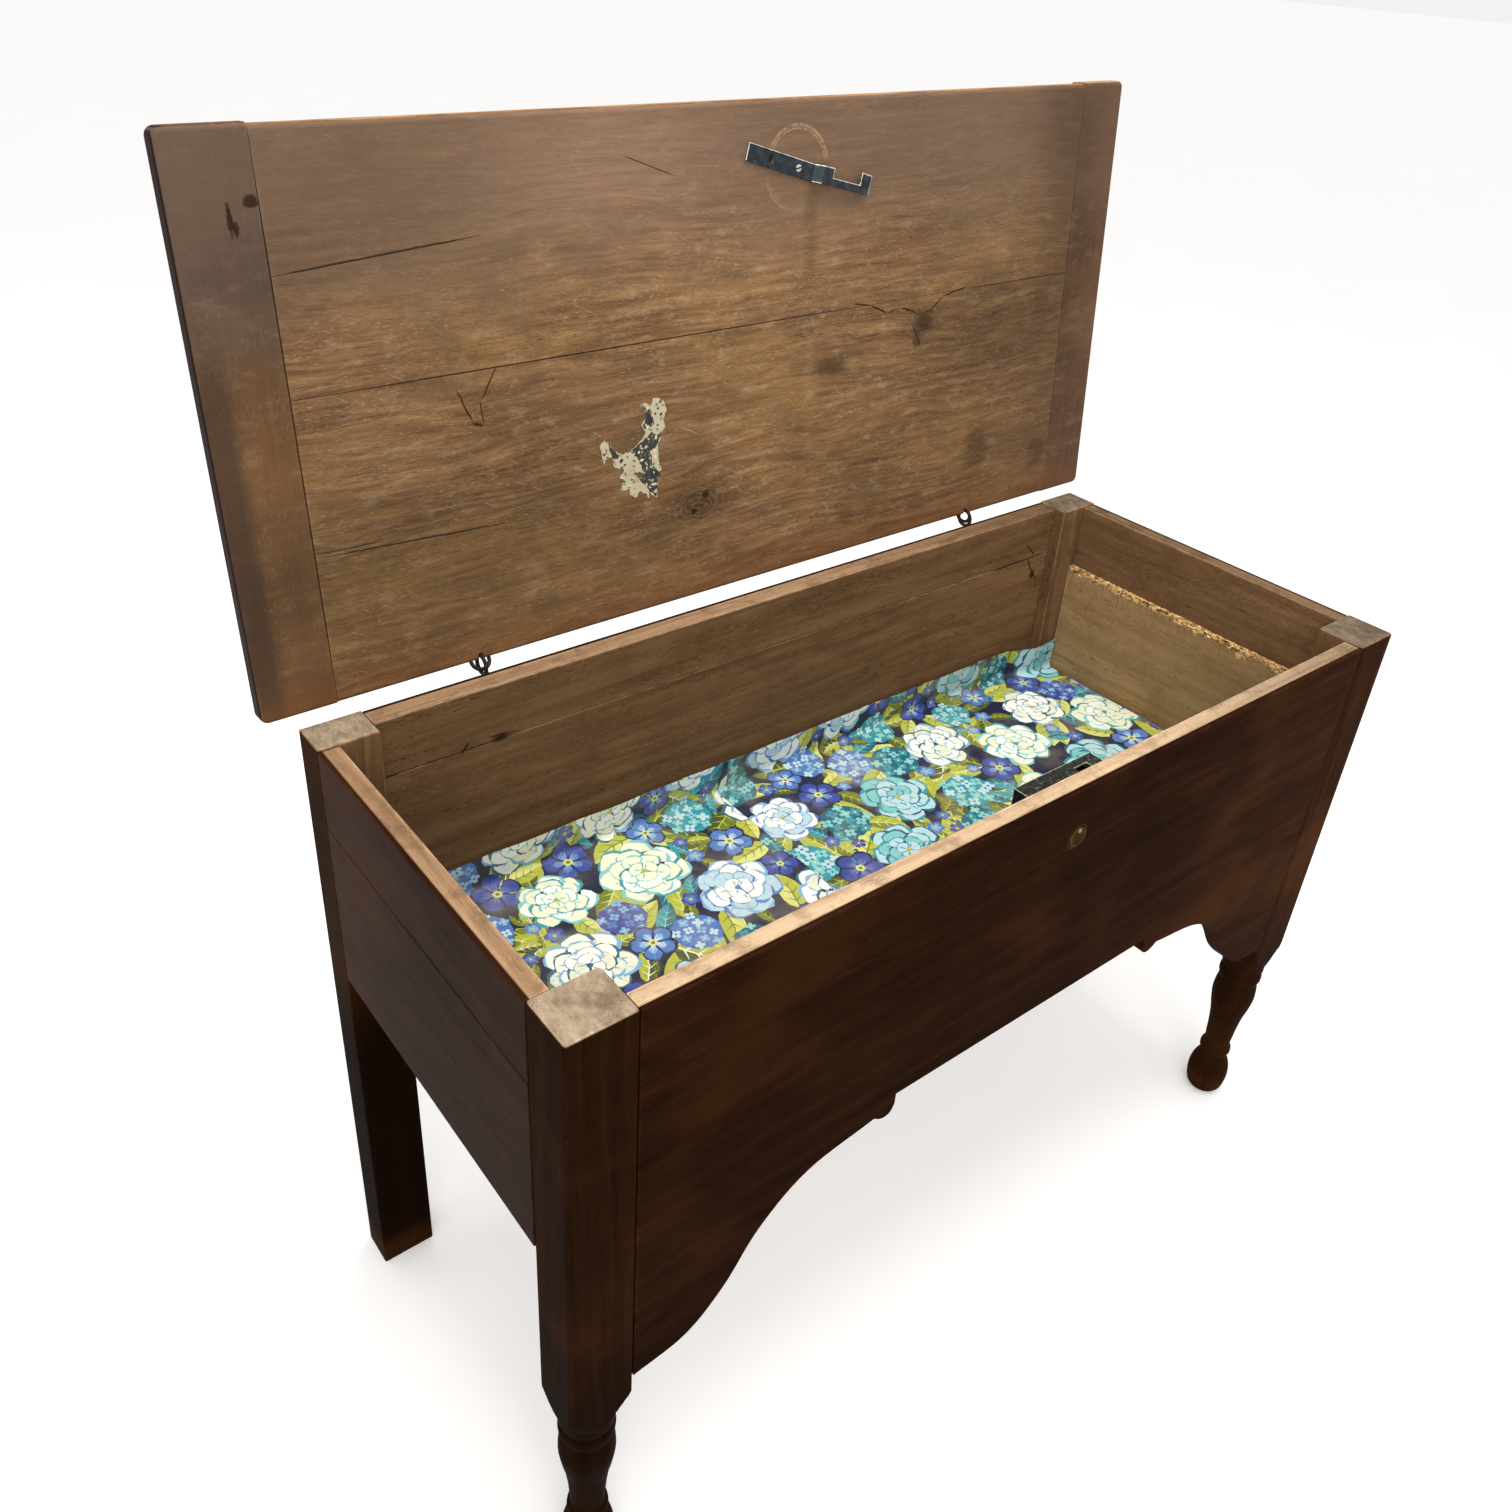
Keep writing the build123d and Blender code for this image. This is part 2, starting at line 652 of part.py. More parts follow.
def make_strap():
    low = strap_gap
    lift = strap_gap + strap_offset
    slope = math.atan2(strap_offset, strap_bend_end - strap_bend_start)
    lean = strap_thickness * math.tan(slope / 2)
    side_view = Polyline(
        (-strap_left, low), (strap_bend_start, low), (strap_bend_end, lift), (strap_right, lift),
        (strap_right, lift + strap_thickness), (strap_bend_end - lean, lift + strap_thickness),
        (strap_bend_start - lean, low + strap_thickness), (-strap_left, low + strap_thickness),
        close=True)
    half_width = strap_width / 2
    end_edge = half_width + arm_rise
    notch_edge = half_width + arm_rise / 2
    plan = Polyline(
        (-strap_left, -half_width), (strap_bend_start, -half_width),
        (strap_right, arm_rise - half_width), (strap_right, end_edge + prong_rise),
        (hook_end, end_edge + prong_rise), (hook_end, hook_floor + arm_rise / 2),
        (hook_start, hook_floor), (hook_start, notch_edge), (strap_bend_start, half_width),
        (-strap_left, half_width), close=True)
    strap = extrude(Plane.XZ * make_face(side_view), strap_width, both=True)
    strap &= extrude(make_face(plan), lift + 2 * strap_thickness)
    turning_radius = screw_radius + screw_turning_clearance
    strap -= countersink(0, turning_radius, screw_head_radius + 2 * screw_turning_clearance)
    strap -= countersink(-empty_hole_left, screw_radius, screw_head_radius)
    parts["lid_strap"] = opened(on_lid(only_solid(strap)))
    cone_start = strap_gap + strap_thickness * straight_share + screw_turning_clearance
    head_top = strap_gap + strap_thickness
    head = Polyline((0, 0), (screw_radius, 0), (screw_radius, cone_start),
                    (screw_head_radius - screw_turning_clearance, head_top), (0, head_top),
                    close=True)
    screw = revolve(Plane.XZ * make_face(head), axis=Axis.Z) + screw_shank(0)
    parts["strap_screw"] = opened(on_lid(only_solid(screw)))


# --- Lock ---------------------------------------------------------------------------------------
def lock_span_x(inset):
    half = lock_length / 2 - inset
    return (lock_middle_x - half, lock_middle_x + half)


def lock_span_z(inset):
    top = case_height - lock_top
    return (top - lock_height + inset, top - inset)


def bolt_block(clearance, x_span):
    """The bolt's section over a stretch of X, with room round it."""
    middle_y = (front_thickness + lock_wall + lock_inner) / 2
    middle_z = key_height + bolt_over_key
    half_y = bolt_thickness / 2 + clearance
    half_z = bolt_height / 2 + clearance
    return block(x_span, (middle_y - half_y, middle_y + half_y),
                 (middle_z - half_z, middle_z + half_z))


def lock_screw_places():
    low_x, high_x = lock_span_x(lock_screw_margin)
    low_z, high_z = lock_span_z(lock_screw_margin)
    return [(x, z) for x in (low_x, high_x) for z in (low_z, high_z)]


def lock_spring(bolt_top, middle_y):
    """A bent leaf: its foot lies on the case's top wall and its tip rests over the bolt."""
    top = lock_span_z(lock_wall)[1]
    start_x = lock_span_x(lock_wall)[0] + spring_start
    tip = bolt_top + bolt_clearance
    bend_x = start_x + spring_foot
    end_x = start_x + spring_length
    outline = Polyline((start_x, top), (bend_x, top), (end_x, tip + spring_thickness), (end_x, tip),
                       (bend_x, top - spring_thickness), (start_x, top - spring_thickness),
                       close=True)
    leaf = extrude(Plane.XZ * make_face(outline), spring_width / 2, both=True)
    return Pos(0, middle_y, 0) * leaf


def make_lock():
    case_front = front_thickness + lock_wall
    middle_y = (case_front + lock_inner) / 2
    case = block(lock_span_x(0), (case_front, lock_inner), lock_span_z(0))
    case -= block(lock_span_x(lock_wall), (case_front - 1, lock_inner - lock_wall),
                  lock_span_z(lock_wall))
    cover = block(lock_span_x(0), (front_thickness, case_front), lock_span_z(0))
    cover -= keyhole((front_thickness, case_front))
    slot_start = bolt_end + hasp_slot_gap
    case -= block((slot_start, slot_start + hasp_slot_length),
                  (middle_y - hasp_slot_width / 2, middle_y + hasp_slot_width / 2),
                  (lock_span_z(2 * lock_wall)[1], lock_span_z(0)[1] + 1))
    bolt = bolt_block(0, (bolt_start, bolt_end))
    bolt_bottom = key_height + bolt_over_key - bolt_height / 2
    bolt -= block((bolt_start + bolt_talon_width, bolt_start + 2 * bolt_talon_width),
                  (middle_y - bolt_thickness, middle_y + bolt_thickness),
                  (bolt_bottom - 1, bolt_bottom + bolt_talon_depth))
    guide_x = (bolt_start + 3 * bolt_talon_width, bolt_start + 3 * bolt_talon_width + guide_width)
    guide_reach = guide_wall + bolt_clearance
    guide = bolt_block(guide_reach, guide_x)
    guide += block(guide_x, (middle_y, lock_inner - lock_wall),
                   (key_height + bolt_over_key - bolt_height / 2 - guide_reach,
                    key_height + bolt_over_key + bolt_height / 2 + guide_reach))
    guide -= bolt_block(bolt_clearance, (guide_x[0] - 1, guide_x[1] + 1))
    plate_inner = lock_inner - lock_wall
    key_pin = rod((keyhole_x, plate_inner, key_height), (0, -1, 0), key_pin_radius,
                  plate_inner - case_front - bolt_clearance)
    ward_start = (keyhole_x, plate_inner - ward_depth, key_height)
    ward = rod(ward_start, (0, 1, 0), ward_radius, ward_depth)
    ward -= rod(ward_start, (0, 1, 0), ward_radius - ward_thickness, ward_depth)
    ward -= block((keyhole_x - ward_radius, keyhole_x + ward_radius), (front_thickness, lock_inner),
                  (key_height - ward_radius, key_height))
    screws = []
    for x, z in lock_screw_places():
        screw = rod((x, lock_inner + lock_screw_head, z), (0, -1, 0), lock_screw_head_radius,
                    lock_screw_head)
        reach = lock_depth + lock_screw_in_wood
        screw += rod((x, lock_inner, z), (0, -1, 0), lock_screw_radius, reach)
        hole = rod((x, lock_inner, z), (0, -1, 0), lock_screw_radius + lock_hole_clearance,
                   reach + lock_hole_clearance)
        screws.append(only_solid(screw))
        case -= hole
        cover -= hole
        parts["front_top_rail"] -= hole
        parts["front_apron_panel"] -= hole
    parts["lock_case"] = case
    parts["lock_cover"] = cover
    parts["lock_bolt"] = bolt
    parts["lock_bolt_guide"] = guide
    parts["lock_key_pin"] = key_pin
    parts["lock_ward"] = ward
    parts["lock_spring"] = lock_spring(key_height + bolt_over_key + bolt_height / 2, middle_y)
    parts["lock_screws"] = Compound(children=screws)


# --- Keyhole plate and its swinging cover --------------------------------------------------------
def make_keyhole():
    parts["front_top_rail"] -= keyhole((-1, front_thickness + 1))
    recess = rod((plate_x, -1, plate_height), (0, 1, 0), plate_radius, plate_thickness + 1)
    parts["front_top_rail"] -= recess
    plate = rod((plate_x, 0, plate_height), (0, 1, 0), plate_radius, plate_thickness)
    plate -= keyhole((-1, plate_thickness + 1))
    pin_height = plate_height + cover_pin_above
    plate_pins = []
    for side in (-1, 1):
        start = (plate_x + side * (plate_radius - 2 * plate_pin_radius), 0, plate_height)
        pin_shape = rod(start, (0, 1, 0), plate_pin_radius, front_thickness / 2)
        plate -= pin_shape
        parts["front_top_rail"] -= pin_shape
        plate_pins.append(only_solid(pin_shape))
    cover = rod((plate_x, -cover_gap, plate_height), (0, -1, 0), cover_radius, cover_thickness)
    cover += rod((plate_x, -cover_gap, plate_height - cover_knob_below), (0, -1, 0),
                 cover_knob_radius, cover_thickness + cover_knob_height)
    turning_radius = cover_pin_radius + screw_turning_clearance
    cover -= rod((plate_x, 0, pin_height), (0, -1, 0), turning_radius, 2 * cover_thickness)
    head_start = -cover_gap - cover_thickness - screw_turning_clearance
    pin = rod((plate_x, plate_thickness, pin_height), (0, -1, 0), cover_pin_radius,
              plate_thickness - head_start)
    pin += rod((plate_x, head_start, pin_height), (0, -1, 0), cover_pin_head_radius,
               cover_pin_head)
    parts["keyhole_plate"] = plate - rod((plate_x, -1, pin_height), (0, 1, 0), cover_pin_radius,
                                         plate_thickness + 1)
    parts["keyhole_plate_pins"] = Compound(children=plate_pins)
    parts["keyhole_cover"] = cover
    parts["keyhole_cover_pin"] = pin


# --- Build --------------------------------------------------------------------------------------
def whole_box():
    """The chest's box with its lid open, as lowest and highest corners."""
    boxes = [shape.bounding_box() for shape in parts.values()]
    low = [min(getattr(box.min, axis) for box in boxes) for axis in "XYZ"]
    high = [max(getattr(box.max, axis) for box in boxes) for axis in "XYZ"]
    return low, high


make_case_frame()
make_bottom()
make_cleats()
make_paper()
make_lid()
make_strap()
make_lock()
make_keyhole()

# The origin is on the floor, under the middle of the box of the open chest.
box_low, box_high = whole_box()
box_middle_x = (box_low[0] + box_high[0]) / 2
box_middle_y = (box_low[1] + box_high[1]) / 2
to_origin = Pos(-box_middle_x, -box_middle_y, -box_low[2])

os.makedirs("parts", exist_ok=True)
for name, shape in parts.items():
    export_step(to_origin * shape, f"parts/{name}.step")
print(f"{len(parts)} nodes")
print(f"origin moved by {box_middle_x:.4f}, {box_middle_y:.4f}, {box_low[2]:.4f}")
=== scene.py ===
# %% [markdown]
# # A sugar chest
# This notebook dresses the solid model of an old sugar chest. The solids bring the joints, and most
# pieces read their sizes from them. Here the timber gets worn edges, grain, knots and cracks, the
# ironwork gets its black skin, and the printed paper is cut, coloured and laid in the bottom.

# %% Load the frame
import math
import random
from collections import namedtuple

import bmesh
import bpy
import numpy
from mathutils import Matrix, Quaternion, Vector, noise
from mathutils.geometry import delaunay_2d_cdt
from mathutils.kdtree import KDTree


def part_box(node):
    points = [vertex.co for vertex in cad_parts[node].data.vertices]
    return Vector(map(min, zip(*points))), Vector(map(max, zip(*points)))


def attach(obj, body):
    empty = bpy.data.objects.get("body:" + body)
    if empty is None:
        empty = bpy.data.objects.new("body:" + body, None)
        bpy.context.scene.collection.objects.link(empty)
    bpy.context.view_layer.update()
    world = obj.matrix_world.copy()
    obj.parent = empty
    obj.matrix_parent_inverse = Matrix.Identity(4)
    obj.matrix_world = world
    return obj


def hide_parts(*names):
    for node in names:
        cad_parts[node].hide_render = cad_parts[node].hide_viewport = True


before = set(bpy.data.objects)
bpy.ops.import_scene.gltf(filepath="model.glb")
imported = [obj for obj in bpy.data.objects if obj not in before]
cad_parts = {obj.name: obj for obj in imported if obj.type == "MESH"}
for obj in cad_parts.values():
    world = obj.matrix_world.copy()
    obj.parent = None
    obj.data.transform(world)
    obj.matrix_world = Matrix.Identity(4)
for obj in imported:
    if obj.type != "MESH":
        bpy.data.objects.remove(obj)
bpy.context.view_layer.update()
MM = 0.001

# %% [markdown]
# ## Sizes that the pieces share
# The chest is drawn in the maker's own coordinates, in millimetres: X from the middle of the chest,
# Y from the front face and Z from the floor. One shift takes a drawn point to the frame. The shift
# is read from the box of one post, so it follows the frame.

# %% Sizes and the shift
HALF_LENGTH = 550.0
DEPTH = 475.0
HEIGHT = 742.0
LID_ANGLE = math.radians(95.3)
SHIFT = Vector((0.0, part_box("front_left_post")[0].y, 0.0))


def box_mm(node):
    """A node's lowest and highest corners in the drawing's millimetres."""
    low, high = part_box(node)
    return (low - SHIFT) / MM, (high - SHIFT) / MM


def to_frame(matrix=Matrix.Identity(4)):
    """Takes drawn millimetres to the frame's metres."""
    return Matrix.Translation(SHIFT) @ Matrix.Scale(MM, 4) @ matrix


HINGE_AXIS = Vector((0.0, DEPTH + 12.0, HEIGHT + 1.5))
OPENED = (Matrix.Translation(HINGE_AXIS) @ Matrix.Rotation(-LID_ANGLE, 4, "X")
          @ Matrix.Translation(-HINGE_AXIS))
print("front face at y =", round(SHIFT.y, 4), "m")

# %% [markdown]
# ## Camera, floor and light
# The camera stands close to the left front corner and looks down on the chest, so its picture has
# strong perspective. A turn about one axis gives its direction. Two large soft lamps and a pale sky
# give an even studio light.

# %% Camera
CAMERA_PLACE = Vector((-872.7, -553.7, 1426.8))
CAMERA_TURN = Vector((2.0382, -0.6567, 0.4409))
IMAGE_SIZE = 1512
FOCAL_PIXELS = 1301.84
PRINCIPAL_POINT = (731.05, 675.74)


def linked(name, data):
    """A new object in the scene."""
    new_object = bpy.data.objects.new(name, data)
    bpy.context.scene.collection.objects.link(new_object)
    return new_object


camera_data = bpy.data.cameras.new("camera")
camera = linked("camera", camera_data)
world_to_camera = Quaternion(CAMERA_TURN.normalized(), CAMERA_TURN.length).to_matrix()
turned = world_to_camera.transposed() @ Matrix.Diagonal((1, -1, -1))
camera.matrix_world = Matrix.Translation(CAMERA_PLACE * MM + SHIFT) @ turned.to_4x4()
camera_data.sensor_width = 36.0
camera_data.lens = FOCAL_PIXELS / IMAGE_SIZE * camera_data.sensor_width
camera_data.shift_x = 0.5 - PRINCIPAL_POINT[0] / IMAGE_SIZE
camera_data.shift_y = PRINCIPAL_POINT[1] / IMAGE_SIZE - 0.5
camera_data.clip_end = 50.0
bpy.context.scene.camera = camera
print("lens", round(camera_data.lens, 2), "mm")


# %% Node helpers
def screen(red, green, blue):
    """A colour, from screen values to the linear values that shaders use."""
    return tuple((value / 255.0) ** 2.2 for value in (red, green, blue))


class Pen:
    """Holds the node tree that was opened last. Every helper below draws in it."""
    tree = None


def give(socket, value):
    """Links another node's output to a socket, or sets the socket to a plain value."""
    if isinstance(value, bpy.types.NodeSocket):
        Pen.tree.links.new(value, socket)
    else:
        socket.default_value = value


def add(kind, inputs=None, **settings):
    """Adds a node. An input is a number, a colour or another node's output."""
    node = Pen.tree.nodes.new(kind)
    for name, value in settings.items():
        setattr(node, name, value)
    for key, value in (inputs or {}).items():
        give(node.inputs[key], value)
    return node


def calc(operation, *values, clamp=False):
    """A Math node's output."""
    return add("ShaderNodeMath", dict(enumerate(values)), operation=operation,
               use_clamp=clamp).outputs[0]


def maths(operation):
    """A function that adds one kind of Math node."""
    return lambda *values, **settings: calc(operation, *values, **settings)


times, plus, minus, divide, largest, smallest, absolute = map(maths, (
    "MULTIPLY", "ADD", "SUBTRACT", "DIVIDE", "MAXIMUM", "MINIMUM", "ABSOLUTE"))


def vector_calc(operation, *values):
    node = add("ShaderNodeVectorMath", dict(enumerate(values)), operation=operation)
    return node.outputs["Value" if operation in ("LENGTH", "DISTANCE", "DOT_PRODUCT") else "Vector"]


def split(vector):
    """A vector's parts X, Y and Z."""
    return add("ShaderNodeSeparateXYZ", {0: vector}).outputs


def combine(**parts):
    """A vector from its parts; a part that isn't given is 0."""
    return add("ShaderNodeCombineXYZ", parts).outputs[0]


def smooth(value, low, high, to_low=0.0, to_high=1.0):
    """A smooth step of a value between two limits."""
    inputs = {"Value": value, "From Min": low, "From Max": high, "To Min": to_low,
              "To Max": to_high}
    node = add("ShaderNodeMapRange", inputs, interpolation_type="SMOOTHSTEP")
    return node.outputs["Result"]


def blend(factor, first, second, mode="MIX"):
    """A mix of two colours."""
    node = add("ShaderNodeMix", {"Factor": factor}, data_type="RGBA", blend_type=mode)
    for key, value in ((6, first), (7, second)):
        give(node.inputs[key], (*value, 1.0) if isinstance(value, tuple) else value)
    return node.outputs[2]


def layers(base, marks):
    """Lays colours over a base, each through a mask or a smooth (field, low, high, strength)."""
    for mask, color in marks:
        if isinstance(mask, tuple):
            field, low, high, strength = mask
            mask = smooth(field, low, high, 0.0, strength)
        base = blend(mask, base, color)
    return base


def scaled(color, factor):
    return tuple(value * factor for value in color)


def revalue(color, value, saturation=1.0):
    """A colour made lighter or darker."""
    return add("ShaderNodeHueSaturation", {
        "Color": color, "Value": value, "Saturation": saturation}).outputs[0]


def cloud(vector, scale, detail=2.0, roughness=0.5):
    """A noise texture's value. A scale of three numbers stretches the noise."""
    if isinstance(scale, tuple):
        vector, scale = vector_calc("MULTIPLY", vector, scale), 1.0
    inputs = {"Vector": vector, "Scale": scale, "Detail": detail, "Roughness": roughness}
    return add("ShaderNodeTexNoise", inputs).outputs["Fac"]


def stored(name, output="Vector"):
    """A value that the mesh stores."""
    return add("ShaderNodeAttribute", attribute_name=name).outputs[output]


def new_material(name, roughness=0.5, metallic=0.0, specular=0.5):
    """Opens a material with one Principled shader."""
    material = bpy.data.materials.new(name)
    material.use_nodes = True
    Pen.tree = material.node_tree
    shader = Pen.tree.nodes["Principled BSDF"]
    for key, value in (("Roughness", roughness), ("Metallic", metallic),
                       ("Specular IOR Level", specular)):
        shader.inputs[key].default_value = value
    return material, shader


def feed(shader, color, roughness=None, height=None, bump=0.3, reach=0.001):
    """Links the made colour, roughness and height to the shader."""
    give(shader.inputs["Base Color"], color)
    if roughness is not None:
        give(shader.inputs["Roughness"], roughness)
    if height is not None:
        node = add("ShaderNodeBump", {"Height": height, "Strength": bump, "Distance": reach})
        give(shader.inputs["Normal"], node.outputs["Normal"])


SOCKET_KINDS = {float: "Float", int: "Int", bool: "Bool", tuple: "Vector"}


def new_group(name, inputs, outputs, outputs_are="Float", kind="ShaderNodeTree"):
    """Opens a group; returns it with its inner input and output sockets.

    Each input has a default, or the name of its kind if it has none."""
    group = Pen.tree = bpy.data.node_groups.new(name, kind)
    for key, value in inputs.items():
        plain = not isinstance(value, str)
        sort = SOCKET_KINDS[type(value)] if plain else value
        socket = group.interface.new_socket(key, in_out="INPUT", socket_type="NodeSocket" + sort)
        if plain:
            socket.default_value = value
    for key in outputs:
        group.interface.new_socket(key, in_out="OUTPUT", socket_type="NodeSocket" + outputs_are)
    return group, add("NodeGroupInput").outputs, add("NodeGroupOutput").inputs


def use_group(group, inputs):
    return add("ShaderNodeGroup", inputs, node_tree=group).outputs


# %% Floor, sky and lamps
FLOOR_SIZE = 60.0
floor_mesh = bpy.data.meshes.new("studio_floor")
corner = FLOOR_SIZE / 2
floor_mesh.from_pydata([(-corner, -corner, 0), (corner, -corner, 0), (corner, corner, 0),
                        (-corner, corner, 0)], [], [(0, 1, 2, 3)])
studio_floor = linked("studio_floor", floor_mesh)
floor_material, floor_shader = new_material("pale_floor", roughness=0.9)
floor_place = add("ShaderNodeTexCoord").outputs["Object"]
floor_tone = cloud(floor_place, 3.0, 3.0)
feed(floor_shader, blend(floor_tone, (0.86, 0.86, 0.86), (0.9, 0.9, 0.9)))
give(floor_shader.inputs["Emission Color"], (1.0, 1.0, 1.0, 1.0))
give(floor_shader.inputs["Emission Strength"], 0.16)
floor_mesh.materials.append(floor_material)

world = bpy.data.worlds.new("studio_sky")
bpy.context.scene.world = world
world.use_nodes = True
world.node_tree.nodes["Background"].inputs["Color"].default_value = (1.0, 0.99, 0.98, 1.0)
world.node_tree.nodes["Background"].inputs["Strength"].default_value = 0.9


def lamp(name, place_mm, aim_mm, size, power, color=(1.0, 0.97, 0.93)):
    """A large square lamp that faces a point."""
    data = bpy.data.lights.new(name, "AREA")
    data.shape = "SQUARE"
    data.size = size
    data.energy = power
    data.color = color
    place = Vector(place_mm) * MM + SHIFT
    aim = Vector(aim_mm) * MM + SHIFT
    facing = (aim - place).to_track_quat("-Z", "Y").to_matrix().to_4x4()
    linked(name, data).matrix_world = Matrix.Translation(place) @ facing


lamp("overhead_lamp", (0, 100, 2900), (0, 230, 600), 1.6, 52)
lamp("window_lamp", (-1500, -1900, 2300), (0, 200, 700), 1.8, 34)
bpy.context.scene.view_settings.view_transform = "Standard"

# %% [markdown]
# ## Boards
# A sawn board looks real when its arrises are slightly round and its grain runs along it. Most
# boards are a box with a small bevel. Every vertex also stores facts that the material reads:
#
# - `grain`: the board's own coordinates in metres, with the grain along X
# - `side`: which surface the vertex lies on (outer face, top edge, or the rest)
# - `near_low` and `near_high`: distances to the board's corners, by which a shader finds arrises

# %% Attribute helpers
random_source = random.Random(1860)


def new_piece(name, mesh, body, slot, material, *replaced):
    """Links a finished mesh as a piece that rides on a body."""
    piece = linked(name, mesh)
    mesh.materials.clear()
    mesh.materials.append(material)
    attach(piece, body)
    if replaced:
        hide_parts(*replaced)
    return piece


def set_vectors(mesh, name, vectors):
    layer = mesh.attributes.get(name) or mesh.attributes.new(name, "FLOAT_VECTOR", "POINT")
    flat = [value for vector in vectors for value in vector]
    layer.data.foreach_set("vector", flat)


GRAIN_TURNS = {
    "X": lambda p: (p.x, p.y, p.z),
    "Y": lambda p: (p.y, p.x, p.z),
    "Z": lambda p: (p.z, p.x, p.y),
}


def face_shares(normal, outward, up):
    """How much a surface belongs to the outer faces, to the rubbed edges and to the rest."""
    outer = max((normal.dot(Vector(way)) for way in outward), default=0.0)
    top = max((normal.dot(Vector(way)) for way in up), default=0.0)
    outer = min(max((outer - 0.6) / 0.35, 0.0), 1.0)
    top = min(max((top - 0.6) / 0.35, 0.0), 1.0 - outer)
    return (outer, top, 1.0 - outer - top)


def weighted_normals(shape):
    """One normal for each vertex, led by its largest faces."""
    normals = []
    for vertex in shape.verts:
        total = Vector()
        for face in vertex.link_faces:
            total += face.normal * face.calc_area()
        normals.append(total.normalized())
    return normals


def soften(mesh, sharp_angle=50.0):
    """Smooth shading that keeps large faces flat and corners crisp."""
    limit = math.cos(math.radians(sharp_angle))
    faces_at = [[] for _ in mesh.vertices]
    for face in mesh.polygons:
        face.use_smooth = True
        for vertex in face.vertices:
            faces_at[vertex].append((face.normal.copy(), face.area))
    normals = []
    for face in mesh.polygons:
        for vertex in face.vertices:
            total = Vector()
            for normal, area in faces_at[vertex]:
                if normal.dot(face.normal) > limit:
                    total += normal * area
            normals.append(total.normalized())
    mesh.normals_split_custom_set(normals)


def finish_timber(shape, name, grain_axis, outward, up=((0, 0, 1),), place=Matrix.Identity(4),
                  lid=False, limits=None, dark_below=-1.0):
    """Stores the facts that the timber materials read, then makes the mesh in the frame."""
    shape.normal_update()
    points = [vertex.co.copy() for vertex in shape.verts]
    low, high = limits or [Vector([pick(p[i] for p in points) for i in range(3)])
                           for pick in (min, max)]
    sides = [(1.0, 0.0, 0.0) if point.z < dark_below else face_shares(normal, outward, up)
             for point, normal in zip(points, weighted_normals(shape))]
    offset = Vector([random_source.uniform(-9, 9) for _ in range(3)])
    mesh = bpy.data.meshes.new(name)
    shape.to_mesh(mesh)
    shape.free()
    turn = GRAIN_TURNS[grain_axis]
    set_vectors(mesh, "grain", [Vector(turn(p)) * MM + offset for p in points])
    set_vectors(mesh, "side", sides)
    set_vectors(mesh, "near_low", [(p - low) * MM for p in points])
    set_vectors(mesh, "near_high", [(high - p) * MM for p in points])
    if lid:
        set_vectors(mesh, "lid_place", [(p.x, LID_REAR - p.y, p.z) for p in points])
    else:
        set_vectors(mesh, "chest_place", points)
    mesh.transform(to_frame(place))
    mesh.update()
    soften(mesh)
    return mesh


def box_shape(low, high):
    shape = bmesh.new()
    bmesh.ops.create_cube(shape, size=1.0)
    middle = (Vector(low) + Vector(high)) / 2
    size = Vector(high) - Vector(low)
    for vertex in shape.verts:
        vertex.co = Vector([vertex.co[i] * size[i] + middle[i] for i in range(3)])
    return shape


def round_edges(shape, radius, segments=2, edges=None):
    chosen = edges if edges is not None else list(shape.edges)
    bmesh.ops.bevel(shape, geom=chosen, offset=radius, segments=segments, profile=0.5,
                    affect="EDGES", clamp_overlap=True)
    return shape


def plain_board(low, high, radius=1.2):
    """A board with rounded arrises."""
    return round_edges(box_shape(low, high), radius)


LID_REAR = DEPTH + 8.0
print("board helpers are ready")

# %% [markdown]
# ## Timber finishes
# The whole chest is one kind of wood, but light and hands have changed each surface. Outside it is
# nearly black under old varnish, the top edges are rubbed pale, and the inside is bare and brown.
# Under the chest it gets painted shade, and towards the right end painted light. One shader group
# draws the grain: broad streaks, fine fibres and short pores. A second group finds the arrises from
# the stored distances. Three more draw a crack, a soft spot and the marks of age. Each timber
# material then mixes its own colours with them.

# %% Grain and arris groups
grain_group, given, made = new_group(
    "grain_figure", {"Vector": "Vector", "Streak Width": 1.0, "Waviness": 1.0, "Runs": 3.0},
    ("Streaks", "Fibres", "Pores", "Height"))
drift = cloud(given["Vector"], (2.2, 7.0, 7.0), 3.0, 0.55)
drift = times(minus(drift, 0.5), given["Waviness"])
sway = combine(Y=times(drift, 0.06), Z=times(drift, 0.03))
swayed = vector_calc("ADD", given["Vector"], sway)
narrow = divide(1.0, given["Streak Width"])
across = combine(X=given["Runs"], Y=times(narrow, 70.0), Z=times(narrow, 40.0))
streaks = cloud(vector_calc("MULTIPLY", swayed, across), 1.0, 5.0, 0.62)
fibres = cloud(swayed, (22.0, 620.0, 420.0), 3.0, 0.6)
pore_field = cloud(swayed, (75.0, 1500.0, 1100.0), 1.0, 0.4)
pore_zone = cloud(swayed, (3.0, 60.0, 60.0), 2.0)
pores = times(smooth(pore_field, 0.60, 0.70), smooth(pore_zone, 0.42, 0.62))
height = minus(plus(times(fibres, 0.5), times(streaks, 0.6)), times(pores, 0.8))
for socket, value in (("Streaks", streaks), ("Fibres", fibres), ("Pores", pores),
                      ("Height", height)):
    give(made[socket], value)

